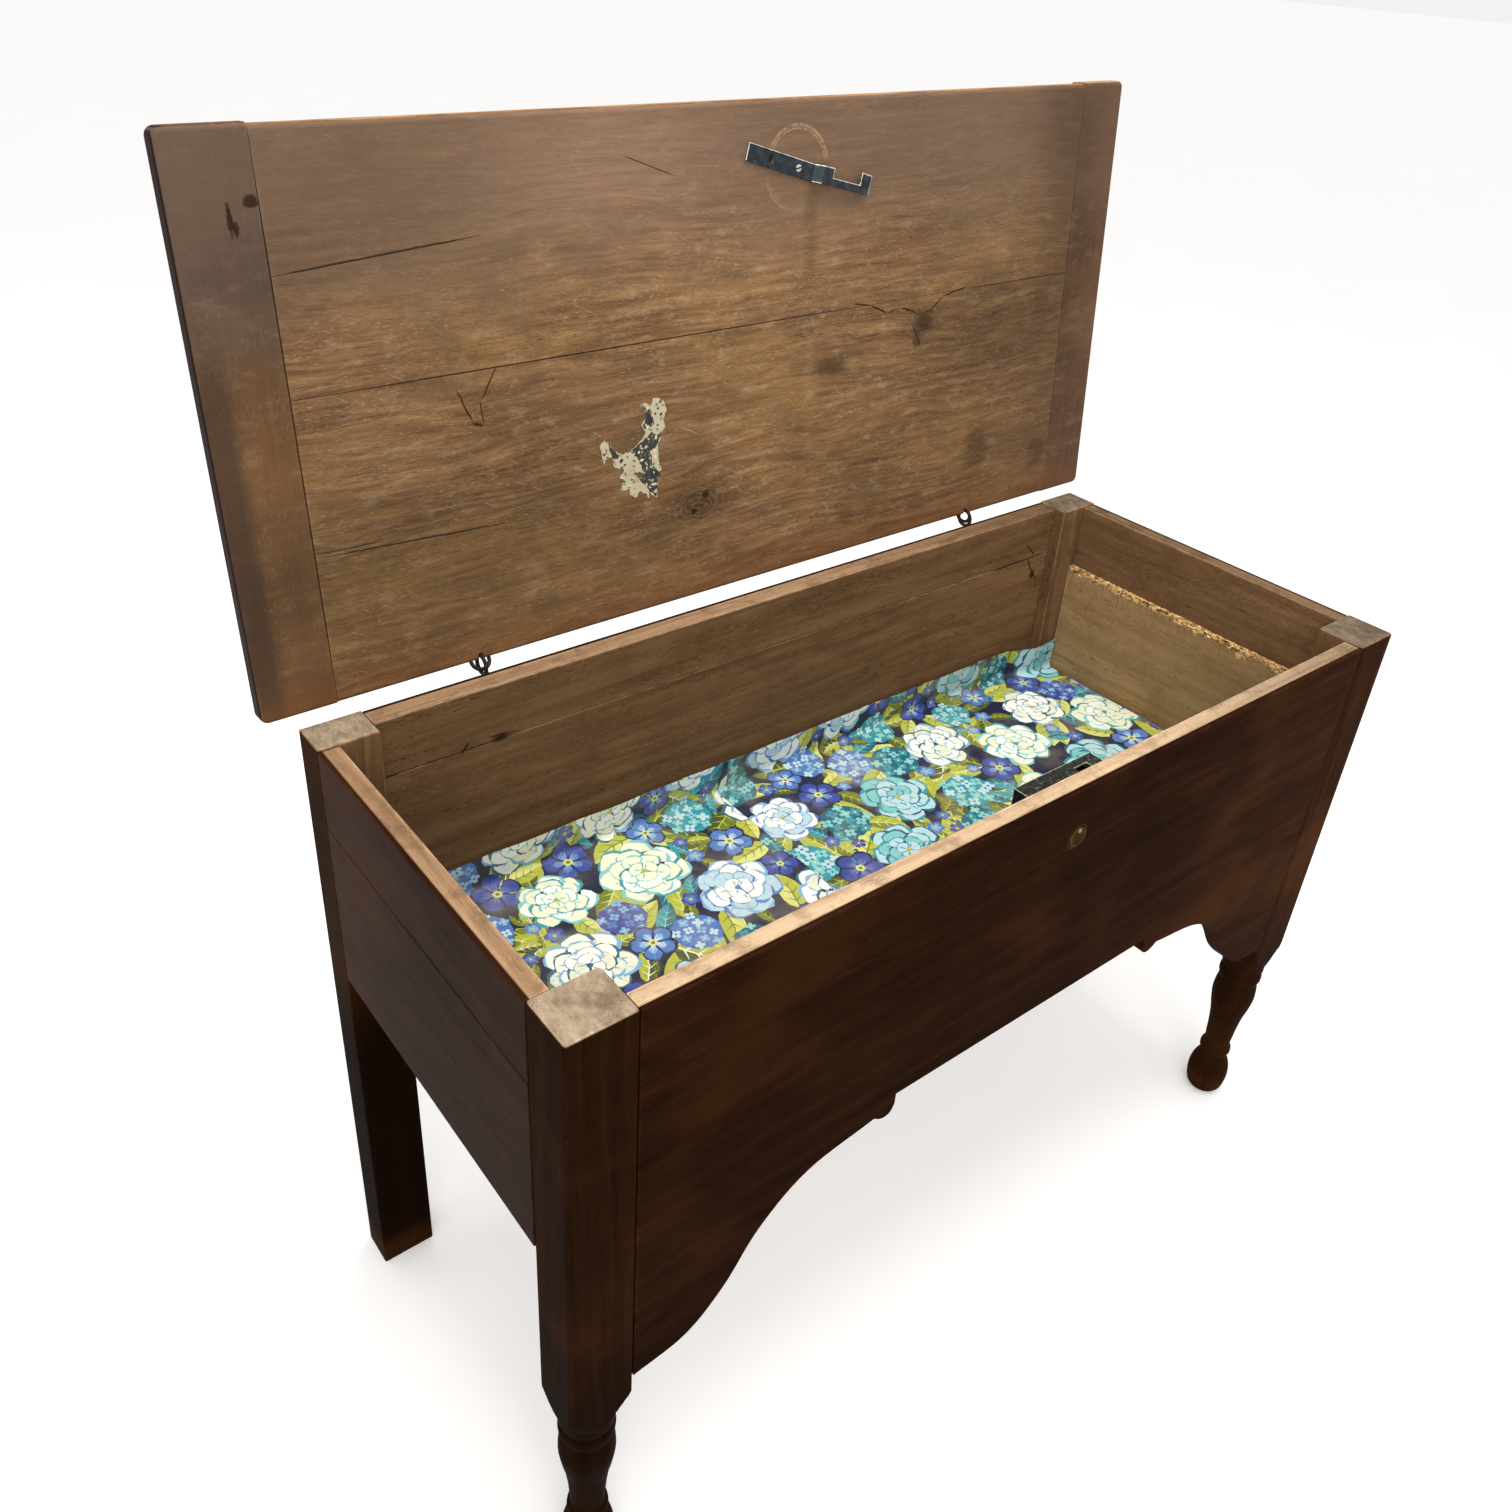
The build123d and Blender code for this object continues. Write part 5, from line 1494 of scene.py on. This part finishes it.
def sheet_outline(left, right, seed):
    """The cut edge of a sheet in its own flat coordinates."""
    front, behind_post, clear = 26.0, 59.0, POST_EDGE - 5.0
    corners = [(left, front), (right, front)]
    if left < -clear:
        corners[0:1] = [(left, behind_post), (-clear, behind_post), (-clear, front)]
    if right > clear:
        corners[-1:] = [(clear, front), (clear, behind_post), (right, behind_post)]
    tops = []
    steps = 14
    for i in range(steps + 1):
        u = right + (left - right) * i / steps
        lift = 5.0 * ease((abs(u) - 470.0) / 45.0)
        tops.append((u, fold_start(u) + FOLD_ARC + UPSTAND + lift))
    corners += tops
    line = []
    for k, corner in enumerate(corners):
        line += ragged_line(corner, corners[(k + 1) % len(corners)], 0.9, seed + k)
    return line


def polygon_area(points):
    ahead = points[1:] + points[:1]
    return abs(sum(a[0] * b[1] - b[0] * a[1] for a, b in zip(points, ahead))) / 2


def paper_mesh(name, cut_points, triangles, over, stack, bend, ground):
    """Makes the cut sheet, bends it, and stores each triangle's ink."""
    shape_points = [bend(float(u), float(v)) for u, v in cut_points]
    mesh = bpy.data.meshes.new(name)
    mesh.from_pydata(shape_points, [], triangles.tolist())
    tones = numpy.array([stencil.tone for stencil in stack] + [ground])
    streaks = numpy.array([stencil.streak for stencil in stack] + [ground])
    middles = numpy.array([stencil.middle for stencil in stack] + [(0, 0)])
    turns = numpy.array([stencil.turn for stencil in stack] + [0.0])
    corner_ink = numpy.repeat(over, 3)
    flat = cut_points[triangles.reshape(-1)] - middles[corner_ink]
    cosine, sine = numpy.cos(turns[corner_ink]), numpy.sin(turns[corner_ink])
    stroke = numpy.stack([flat[:, 0] * cosine + flat[:, 1] * sine,
                          flat[:, 1] * cosine - flat[:, 0] * sine, corner_ink * 3.7], axis=1)
    for label, values in (("ink", tones[corner_ink]), ("streak_ink", streaks[corner_ink])):
        layer = mesh.color_attributes.new(label, "FLOAT_COLOR", "CORNER")
        opaque = numpy.column_stack([values, numpy.ones(len(values))])
        layer.data.foreach_set("color", opaque.reshape(-1).astype(numpy.float32))
    layer = mesh.attributes.new("stroke", "FLOAT_VECTOR", "CORNER")
    layer.data.foreach_set("vector", stroke.reshape(-1).astype(numpy.float32))
    shape = bmesh.new()
    shape.from_mesh(mesh)
    bmesh.ops.remove_doubles(shape, verts=shape.verts, dist=0.012)
    loose = [vertex for vertex in shape.verts if not vertex.link_faces]
    bmesh.ops.delete(shape, geom=loose, context="VERTS")
    for face in shape.faces:
        face.smooth = True
    shape.to_mesh(mesh)
    shape.free()
    return mesh


print("floor of the chest at", round(FLOOR_TOP), "mm, back wall at", round(BACK_WALL))


# %% Printed paper material
def paper_material(name, dirt, back_tone, fading=0.2):
    """Ink on thin paper: dry-brush streaks, faded patches, dirt, and a plain back."""
    material, shader = new_material(name, roughness=0.55)
    place = add("ShaderNodeTexCoord").outputs["Object"]
    brush = cloud(stored("stroke"), (0.06, 0.75, 1.0), 3.0, 0.6)
    fade = cloud(place, 14.0, 4.0, 0.6)
    color = layers(stored("ink", "Color"), (
        ((brush, 0.56, 0.62, 0.5), stored("streak_ink", "Color")),
        ((fade, 0.4, 0.75, fading), screen(210, 200, 160))))
    color = blend(0.3, color, (1.0, 0.95, 0.68), "MULTIPLY")
    specks = cloud(place, 420.0, 3.0, 0.7)
    smear = cloud(place, 30.0, 4.0, 0.7)
    turned = add("ShaderNodeNewGeometry").outputs["Backfacing"]
    color = layers(color, (((specks, 0.64, 0.74, dirt), screen(84, 70, 52)),
                           ((smear, 0.55, 0.8, dirt), screen(110, 92, 66)), (turned, back_tone)))
    fibre, crumple = cloud(place, 900.0, 3.0, 0.6), cloud(place, 55.0, 2.0, 0.5)
    height = plus(times(fibre, 0.3), crumple)
    feed(shader, color, plus(0.42, times(fade, 0.3)), height, 0.35, 0.0008)
    return material


wallpaper = paper_material("printed_wallpaper", 0.22, screen(214, 206, 184))
print("paper:", wallpaper.name)

# %% The two sheets
SHEETS = (("left", -524.0, -57.0, 7, 0.0), ("right", -71.0, 517.0, 23, 0.7))
for hand, left, right, seed, lift in SHEETS:
    outline = sheet_outline(left, right, seed)
    highest = max(v for _, v in outline)
    stack = flower_print(seed, ((left - 20, right + 20), (6.0, highest + 20)))
    rows = [BACK_WALL - 26.0 + 2.5 * i for i in range(16)]
    creases = [[(left - 2, v), (right + 2, v)] for v in rows]
    grid = [(u, v) for u in numpy.arange(left + 7, right, 14.0)
            for v in numpy.arange(33.0, highest, 14.0)]
    cut_points, triangles, over = cut_sheet(outline, stack, creases, grid)
    mesh = paper_mesh(f"flowered_paper_{hand}", cut_points, triangles, over, stack,
                      lambda u, v: bend_paper(u, v, lift), GROUND)
    mesh.transform(to_frame())
    piece = new_piece(f"flowered_paper_{hand}", mesh, "case", "printed_paper", wallpaper,
                      f"paper_liner_{hand}")

# %% [markdown]
# ## A torn label
# A paper label has been torn off the lid, and its remains have gone black and cream. The same
# cutter makes it: the outline is the torn edge, and the dark patches are stencils. It bears no
# words.

# %% Torn label
LABEL_EDGE = ((-134, 234), (-129, 234), (-120, 230), (-117, 221), (-121, 209), (-119, 201),
              (-124, 193), (-129, 186), (-128, 169), (-126, 153), (-131, 143), (-132, 127),
              (-138, 131), (-141, 138), (-142, 129), (-147, 135), (-153, 139), (-159, 133),
              (-165, 136), (-167, 144), (-177, 144), (-174, 151), (-178, 158), (-172, 166),
              (-184, 171), (-185, 181), (-191, 183), (-196, 176), (-200, 196), (-193, 202),
              (-187, 198), (-184, 188), (-172, 182), (-163, 184), (-155, 189), (-148, 194),
              (-144, 201), (-149, 209), (-143, 216), (-145, 225), (-150, 230), (-143, 231),
              (-137, 226))
LABEL_PATCHES = (
    ((-159, 186), (-150, 191), (-143, 195), (-137, 200), (-130, 195), (-122, 197), (-128, 187),
     (-133, 181), (-139, 180), (-137, 168), (-131, 157), (-126, 153), (-132, 141), (-133, 129),
     (-140, 136), (-147, 144), (-161, 160), (-153, 160), (-146, 156), (-155, 174), (-163, 182)),
    ((-148, 229), (-140, 225), (-134, 215), (-133, 207), (-139, 204), (-145, 204), (-149, 209),
     (-143, 214)),
    ((-190, 200), (-186, 196), (-183, 187), (-177, 182), (-179, 178), (-185, 180), (-189, 190)),
)
LABEL_PALE = screen(174, 165, 142)
LABEL_DARK = screen(26, 28, 32)
LABEL_FLAKES = 330


def torn(points, wander, seed):
    """Adds ragged points along a closed outline."""
    line = []
    for k, point in enumerate(points):
        line += ragged_line(point, points[(k + 1) % len(points)], wander, seed + k * 0.7, 1.5)
    return line


def label_stencils():
    """Dark patches, and small flakes of every tone over them."""
    chance = random.Random(5)
    stack = []
    for k, patch in enumerate(LABEL_PATCHES):
        stamp(stack, torn(patch, 2.4, 40 + k * 9), LABEL_DARK, screen(88, 88, 84), (0, 0), 0.9)
    for _ in range(LABEL_FLAKES):
        place = (chance.uniform(-200, -118), chance.uniform(128, 234))
        flake = [polar(place, 2 * math.pi * k / 6, chance.uniform(0.4, 2.7)) for k in range(6)]
        tone = chance.choice((LABEL_PALE, screen(204, 198, 178), screen(112, 106, 92), LABEL_DARK,
                              screen(54, 74, 64), screen(96, 78, 60), screen(140, 134, 116)))
        stamp(stack, flake, tone, tone, place, 0)
    return stack


def on_lid_face(x, v, lift):
    """A point of the lid's inner face, by its distance from the rear edge."""
    swell = noise.noise(Vector((x * 0.09, v * 0.09, 5.0))) * 0.35 + 0.3
    return (x, LID_REAR - v, LID_LOW.z - lift - max(swell, 0.0))


label_edge = torn(LABEL_EDGE, 2.0, 3)
label_grid = [(x, v) for x in range(-198, -117, 5) for v in range(128, 234, 5)]
label_stack = label_stencils()
cut_points, triangles, over = cut_sheet(label_edge, label_stack, [], label_grid)
mesh = paper_mesh("torn_label", cut_points, triangles, over, label_stack,
                  lambda x, v: on_lid_face(x, v, 0.12), LABEL_PALE)
mesh.transform(to_frame(OPENED))
label_paper = paper_material("torn_label_paper", 0.6, screen(190, 176, 146), 0.04)
label = new_piece("torn_label", mesh, "lid", "printed_paper", label_paper)
print("label area in mm2:", round(polygon_area(label_edge)))

# %% [markdown]
# ## Iron and brass
# Wrought iron has a black skin that shines grey where it is handled. The flat pieces are read back
# from their solids and their corners are filed round. Their faces are cut into small triangles, and
# each point stores how near it is to a rubbed corner. The strap's bend also gets a painted
# highlight. The eyes of the hinges, the pins and the small works of the lock keep their solids.

# %% Metal finishes
def metal_finish(name, skin, bright, roughness=0.42, dust=0.0, edge_strength=1.0, metallic=0.75):
    """Dark metal with bright worn edges, pits and a little dust on what faces up."""
    material, shader = new_material(name, metallic=metallic, specular=0.02)
    place = add("ShaderNodeTexCoord").outputs["Object"]
    mottle = cloud(place, 120.0, 5.0, 0.65)
    pits = cloud(place, 900.0, 2.0, 0.6)
    rust = cloud(place, 60.0, 4.0, 0.7)
    # The stored edge value is wear on rubbed corners, and on the strap's bend a painted highlight.
    chip = plus(stored("edge", "Fac"), times(minus(mottle, 0.5), 0.9))
    color = layers(skin, (((mottle, 0.4, 0.7, 0.8), scaled(skin, 2.2)),
                          ((pits, 0.6, 0.75, 0.6), scaled(skin, 0.3)),
                          ((rust, 0.58, 0.75, 0.5), screen(74, 48, 34)),
                          # hollow: painted shade in the screw slots.
                          (stored("hollow", "Fac"), (0.006, 0.005, 0.004)),
                          ((chip, 0.45, 0.95, edge_strength), bright)))
    if dust > 0:
        upward = split(add("ShaderNodeNewGeometry").outputs["Normal"])["Z"]
        specks = cloud(place, 260.0, 4.0, 0.75)
        powder = times(smooth(upward, 0.5, 0.9), smooth(specks, 0.5, 0.72, 0.0, dust))
        color = blend(powder, color, screen(150, 142, 124))
    height = minus(mottle, times(pits, 0.5))
    feed(shader, color, plus(roughness, times(mottle, 0.2)), height, 0.3, 0.0004)
    return material


strap_iron = metal_finish("strap_iron", screen(50, 55, 58), screen(214, 212, 204), 0.34)
hinge_iron = metal_finish("hinge_iron", screen(46, 42, 40), screen(120, 116, 110), 0.5)
lock_iron = metal_finish("lock_iron", screen(40, 44, 40), screen(190, 188, 176), 0.5, dust=0.5)
screw_iron = metal_finish("screw_iron", screen(176, 174, 166), screen(230, 228, 222), 0.3)
old_brass = metal_finish("old_brass", screen(60, 43, 28), screen(104, 80, 56), 0.7,
                         edge_strength=0.6, metallic=0.0)
dull_brass = metal_finish("dull_brass", screen(48, 38, 18), screen(104, 88, 50), 0.65,
                          edge_strength=0.6, metallic=0.0)
rubbed_brass = metal_finish("rubbed_brass", screen(128, 112, 74), screen(190, 176, 130), 0.4,
                            metallic=0.0)


def is_handled(edge, favour):
    """Whether a corner isn't turned away from the side that hands reach."""
    facing = sum((face.normal for face in edge.link_faces), Vector())
    return facing.dot(Vector(favour)) > -0.5


def wear_by_corners(shape, spacing, reach, shortest, favour, bend):
    """Cuts the faces into small triangles and stores how near each point is to a rubbed corner.

    Sloped faces, as on the strap's bend, also take the bend value: a painted highlight.
    """
    shape.normal_update()
    bend_highlight = shape.faces.layers.float.new("bend_highlight")
    for face in shape.faces:
        face[bend_highlight] = bend if 0.8 < abs(face.normal.z) < 0.99 and face.calc_area() > 15.0 else 0.0
    corners = [edge for edge in shape.edges if len(edge.link_faces) == 2
               and edge.calc_length() > shortest and edge.calc_face_angle(0.0) > math.radians(24)
               and is_handled(edge, favour)]
    marks = []
    for edge in corners:
        first, second = (vertex.co for vertex in edge.verts)
        steps = max(int(edge.calc_length() / 0.4), 1)
        marks += [first.lerp(second, step / steps) for step in range(steps + 1)]
    tree = KDTree(len(marks))
    for index, mark in enumerate(marks):
        tree.insert(mark, index)
    tree.balance()
    bmesh.ops.triangulate(shape, faces=shape.faces[:])
    for _ in range(9):
        long_edges = [edge for edge in shape.edges if edge.calc_length() > spacing]
        if not long_edges:
            break
        bmesh.ops.subdivide_edges(shape, edges=long_edges, cuts=1)
        bmesh.ops.triangulate(shape, faces=[face for face in shape.faces if len(face.verts) > 3])
    layer = shape.verts.layers.float.new("edge")
    for vertex in shape.verts:
        near = max(1.0 - tree.find(vertex.co)[2] / reach, 0.0)
        vertex[layer] = max([near] + [face[bend_highlight] for face in vertex.link_faces])


def metal_piece(node, body, slot, material, place=Matrix.Identity(4), filing=0.3, spacing=1.6,
                reach=1.4, shortest=3.0, favour=(0, 0, 0), bend=0.0):
    """Replaces a solid with its filed copy."""
    shape = solid_shape(node, place)
    bmesh.ops.dissolve_limit(shape, angle_limit=math.radians(1.0), verts=shape.verts,
                             edges=shape.edges)
    sharp = [edge for edge in shape.edges
             if len(edge.link_faces) == 2 and edge.calc_face_angle(0.0) > math.radians(35)]
    round_edges(shape, filing, 1, sharp)
    wear_by_corners(shape, spacing, reach, shortest, favour, bend)
    mesh = bpy.data.meshes.new(node + "_filed")
    shape.to_mesh(mesh)
    shape.free()
    mesh.transform(to_frame(place))
    mesh.update()
    soften(mesh, 30.0)
    return new_piece(node + "_filed", mesh, body, slot, material, node)


def dress(material, *nodes):
    """Gives a finish to solids that are kept."""
    for node in nodes:
        mesh = bpy.data.objects[node].data
        if not mesh.materials:
            mesh.materials.append(material)
        for index in range(len(mesh.materials)):
            mesh.materials[index] = material


# The strap's bend gets a painted highlight.
metal_piece("lid_strap", "strap", "iron", strap_iron, OPENED, favour=(0, -1, 0), bend=0.72)
metal_piece("lock_case", "case", "iron", lock_iron, spacing=2.6, reach=1.6, favour=(-1.2, -0.7, 0))
metal_piece("lock_cover", "case", "iron", lock_iron, spacing=4.0, reach=1.6)
metal_piece("keyhole_plate", "case", "old_brass", old_brass, filing=0.2, reach=1.0, shortest=0.3)
metal_piece("keyhole_cover", "key_cover", "old_brass", dull_brass, filing=0.2, reach=1.0,
            shortest=0.3)
dress(hinge_iron, "left_case_eye", "right_case_eye", "left_lid_eye", "right_lid_eye")
dress(lock_iron, "lock_bolt", "lock_bolt_guide", "lock_key_pin", "lock_ward", "lock_spring")
dress(rubbed_brass, "keyhole_plate_pins", "keyhole_cover_pin")

# %% [markdown]
# ## Screws and nails
# Every screw and nail is a head on a shank, so one Geometry Nodes tree makes them all. It takes
# points with an aim, sets a fastener on each, and turns each one by a seeded chance, so the slots
# don't line up.

# %% A tree that drives fasteners
fastener_tree, given, made = new_group("driven_fastener", {
    "Geometry": "Geometry", "Head Radius": 4.5, "Top Radius": 4.0, "Head Height": 2.0,
    "Shank Radius": 2.0, "Shank Length": 14.0, "Slot Width": 1.0, "Slot Depth": 0.9,
    "Slotted": True, "Seed": 4, "Material": "Material"}, ("Geometry",), "Geometry",
    "GeometryNodeTree")
head = add("GeometryNodeMeshCone", {
    "Vertices": 28, "Radius Bottom": given["Head Radius"], "Radius Top": given["Top Radius"],
    "Depth": given["Head Height"]}).outputs["Mesh"]
slot_size = combine(X=times(given["Top Radius"], 3.0), Y=given["Slot Width"],
                    Z=times(given["Slot Depth"], 2.0))
slot_box = add("GeometryNodeMeshCube", {"Size": slot_size}).outputs["Mesh"]
slot_place = combine(Z=given["Head Height"])
slot_box = add("GeometryNodeTransform",
               {"Geometry": slot_box, "Translation": slot_place}).outputs[0]
cut = add("GeometryNodeMeshBoolean", {"Mesh 1": head, "Mesh 2": slot_box},
          operation="DIFFERENCE").outputs["Mesh"]
# Faces in the screw slot store 'hollow', which the finish paints nearly black: painted shade in the
# slot.
spot = split(add("GeometryNodeInputPosition").outputs[0])
slot_shade = times(calc("LESS_THAN", spot["Z"], minus(given["Head Height"], 0.05)),
                calc("GREATER_THAN", spot["Z"], 0.1))
slot_shade = times(slot_shade, calc("LESS_THAN", absolute(spot["X"]), 0.5))
cut = add("GeometryNodeStoreNamedAttribute", {"Geometry": cut, "Name": "hollow", "Value": slot_shade},
          data_type="FLOAT", domain="FACE").outputs[0]
chosen = add("GeometryNodeSwitch", {"Switch": given["Slotted"], "False": head, "True": cut},
             input_type="GEOMETRY").outputs[0]
shank = add("GeometryNodeMeshCylinder", {"Vertices": 16, "Radius": given["Shank Radius"],
                                         "Depth": given["Shank Length"]}).outputs["Mesh"]
shank_place = combine(Z=times(given["Shank Length"], -0.5))
shank = add("GeometryNodeTransform", {"Geometry": shank, "Translation": shank_place}).outputs[0]
joined = add("GeometryNodeJoinGeometry")
give(joined.inputs[0], shank)
give(joined.inputs[0], chosen)
aim = add("GeometryNodeInputNamedAttribute", {"Name": "aim"},
          data_type="FLOAT_VECTOR").outputs["Attribute"]
turn = add("FunctionNodeAlignRotationToVector", {"Vector": aim}, axis="Z").outputs[0]
spin = add("FunctionNodeRandomValue", {2: 0.0, 3: 6.28, "Seed": given["Seed"]},
           data_type="FLOAT").outputs[1]
spin = add("FunctionNodeAxisAngleToRotation", {"Axis": (0, 0, 1), "Angle": spin}).outputs[0]
turn = add("FunctionNodeRotateRotation", {"Rotation": turn, "Rotate By": spin},
           rotation_space="LOCAL").outputs[0]
placed = add("GeometryNodeInstanceOnPoints", {
    "Points": given["Geometry"], "Instance": joined.outputs[0], "Rotation": turn}).outputs[0]
real_and_coated(placed, given["Material"], made["Geometry"])
print("fastener tree:", len(fastener_tree.nodes), "nodes")


# %% Driving them
def drive(name, node, body, material, places, sizes, place=Matrix.Identity(4)):
    """Sets fasteners at (point, aim) pairs; they stand for a node of the frame."""
    points = bpy.data.meshes.new(name + "_points")
    points.from_pydata([point for point, _ in places], [], [])
    set_vectors(points, "aim", [aim for _, aim in places])
    mesh = grown(name + "_points", fastener_tree, points, {**sizes, "Material": material})
    mesh.transform(to_frame(place))
    mesh.name = name
    soften(mesh, 35.0)
    return new_piece(name, mesh, body, "iron", material, node)


screws_low, screws_high = box_mm("lock_screws")
LOCK_SCREW_HEAD = 4.5
LOCK_SCREW_RISE = 2.0
head_base = screws_high.y - LOCK_SCREW_RISE
lock_places = [((x, head_base, z), (0, 1, 0))
               for x in (screws_low.x + LOCK_SCREW_HEAD, screws_high.x - LOCK_SCREW_HEAD)
               for z in (screws_low.z + LOCK_SCREW_HEAD, screws_high.z - LOCK_SCREW_HEAD)]
drive("lock_screws_slotted", "lock_screws", "case", screw_iron, lock_places,
      {"Head Radius": LOCK_SCREW_HEAD, "Top Radius": 3.7, "Head Height": LOCK_SCREW_RISE,
       "Shank Radius": 1.9, "Shank Length": head_base - screws_low.y, "Slot Width": 1.0,
       "Slot Depth": 0.9})
drive("strap_screw_slotted", "strap_screw", "lid", screw_iron,
      [((STRAP_PIVOT[0], LID_REAR - STRAP_PIVOT[1], LID_LOW.z - 1.0), (0, 0, -1))],
      {"Head Radius": 2.45, "Top Radius": 3.7, "Head Height": 1.5, "Shank Radius": 2.4,
       "Shank Length": 17.0, "Slot Width": 1.5, "Slot Depth": 1.1, "Seed": 9}, OPENED)
NAIL_MARGIN = 60.0
nail_places = []
for node, way in (("front_cleat", (0, -1, 0)), ("back_cleat", (0, 1, 0)),
                  ("left_cleat", (-1, 0, 0)), ("right_cleat", (1, 0, 0))):
    low, high = box_mm(node)
    along = 0 if way[1] else 1
    face = 1 - along
    for spot in (low[along] + NAIL_MARGIN, (low[along] + high[along]) / 2,
                 high[along] - NAIL_MARGIN):
        point = (low + high) / 2
        point[along] = spot
        point[face] = low[face] if way[face] > 0 else high[face]
        nail_places.append((tuple(point), tuple(-value for value in way)))
drive("cleat_nails_driven", "cleat_nails", "case", hinge_iron, nail_places,
      {"Head Radius": 4.0, "Top Radius": 3.2, "Head Height": 1.0, "Shank Radius": 1.5,
       "Shank Length": 33.5, "Slotted": False})
print("fasteners:", len(lock_places), "lock screws,", len(nail_places), "nails and 1 strap screw")
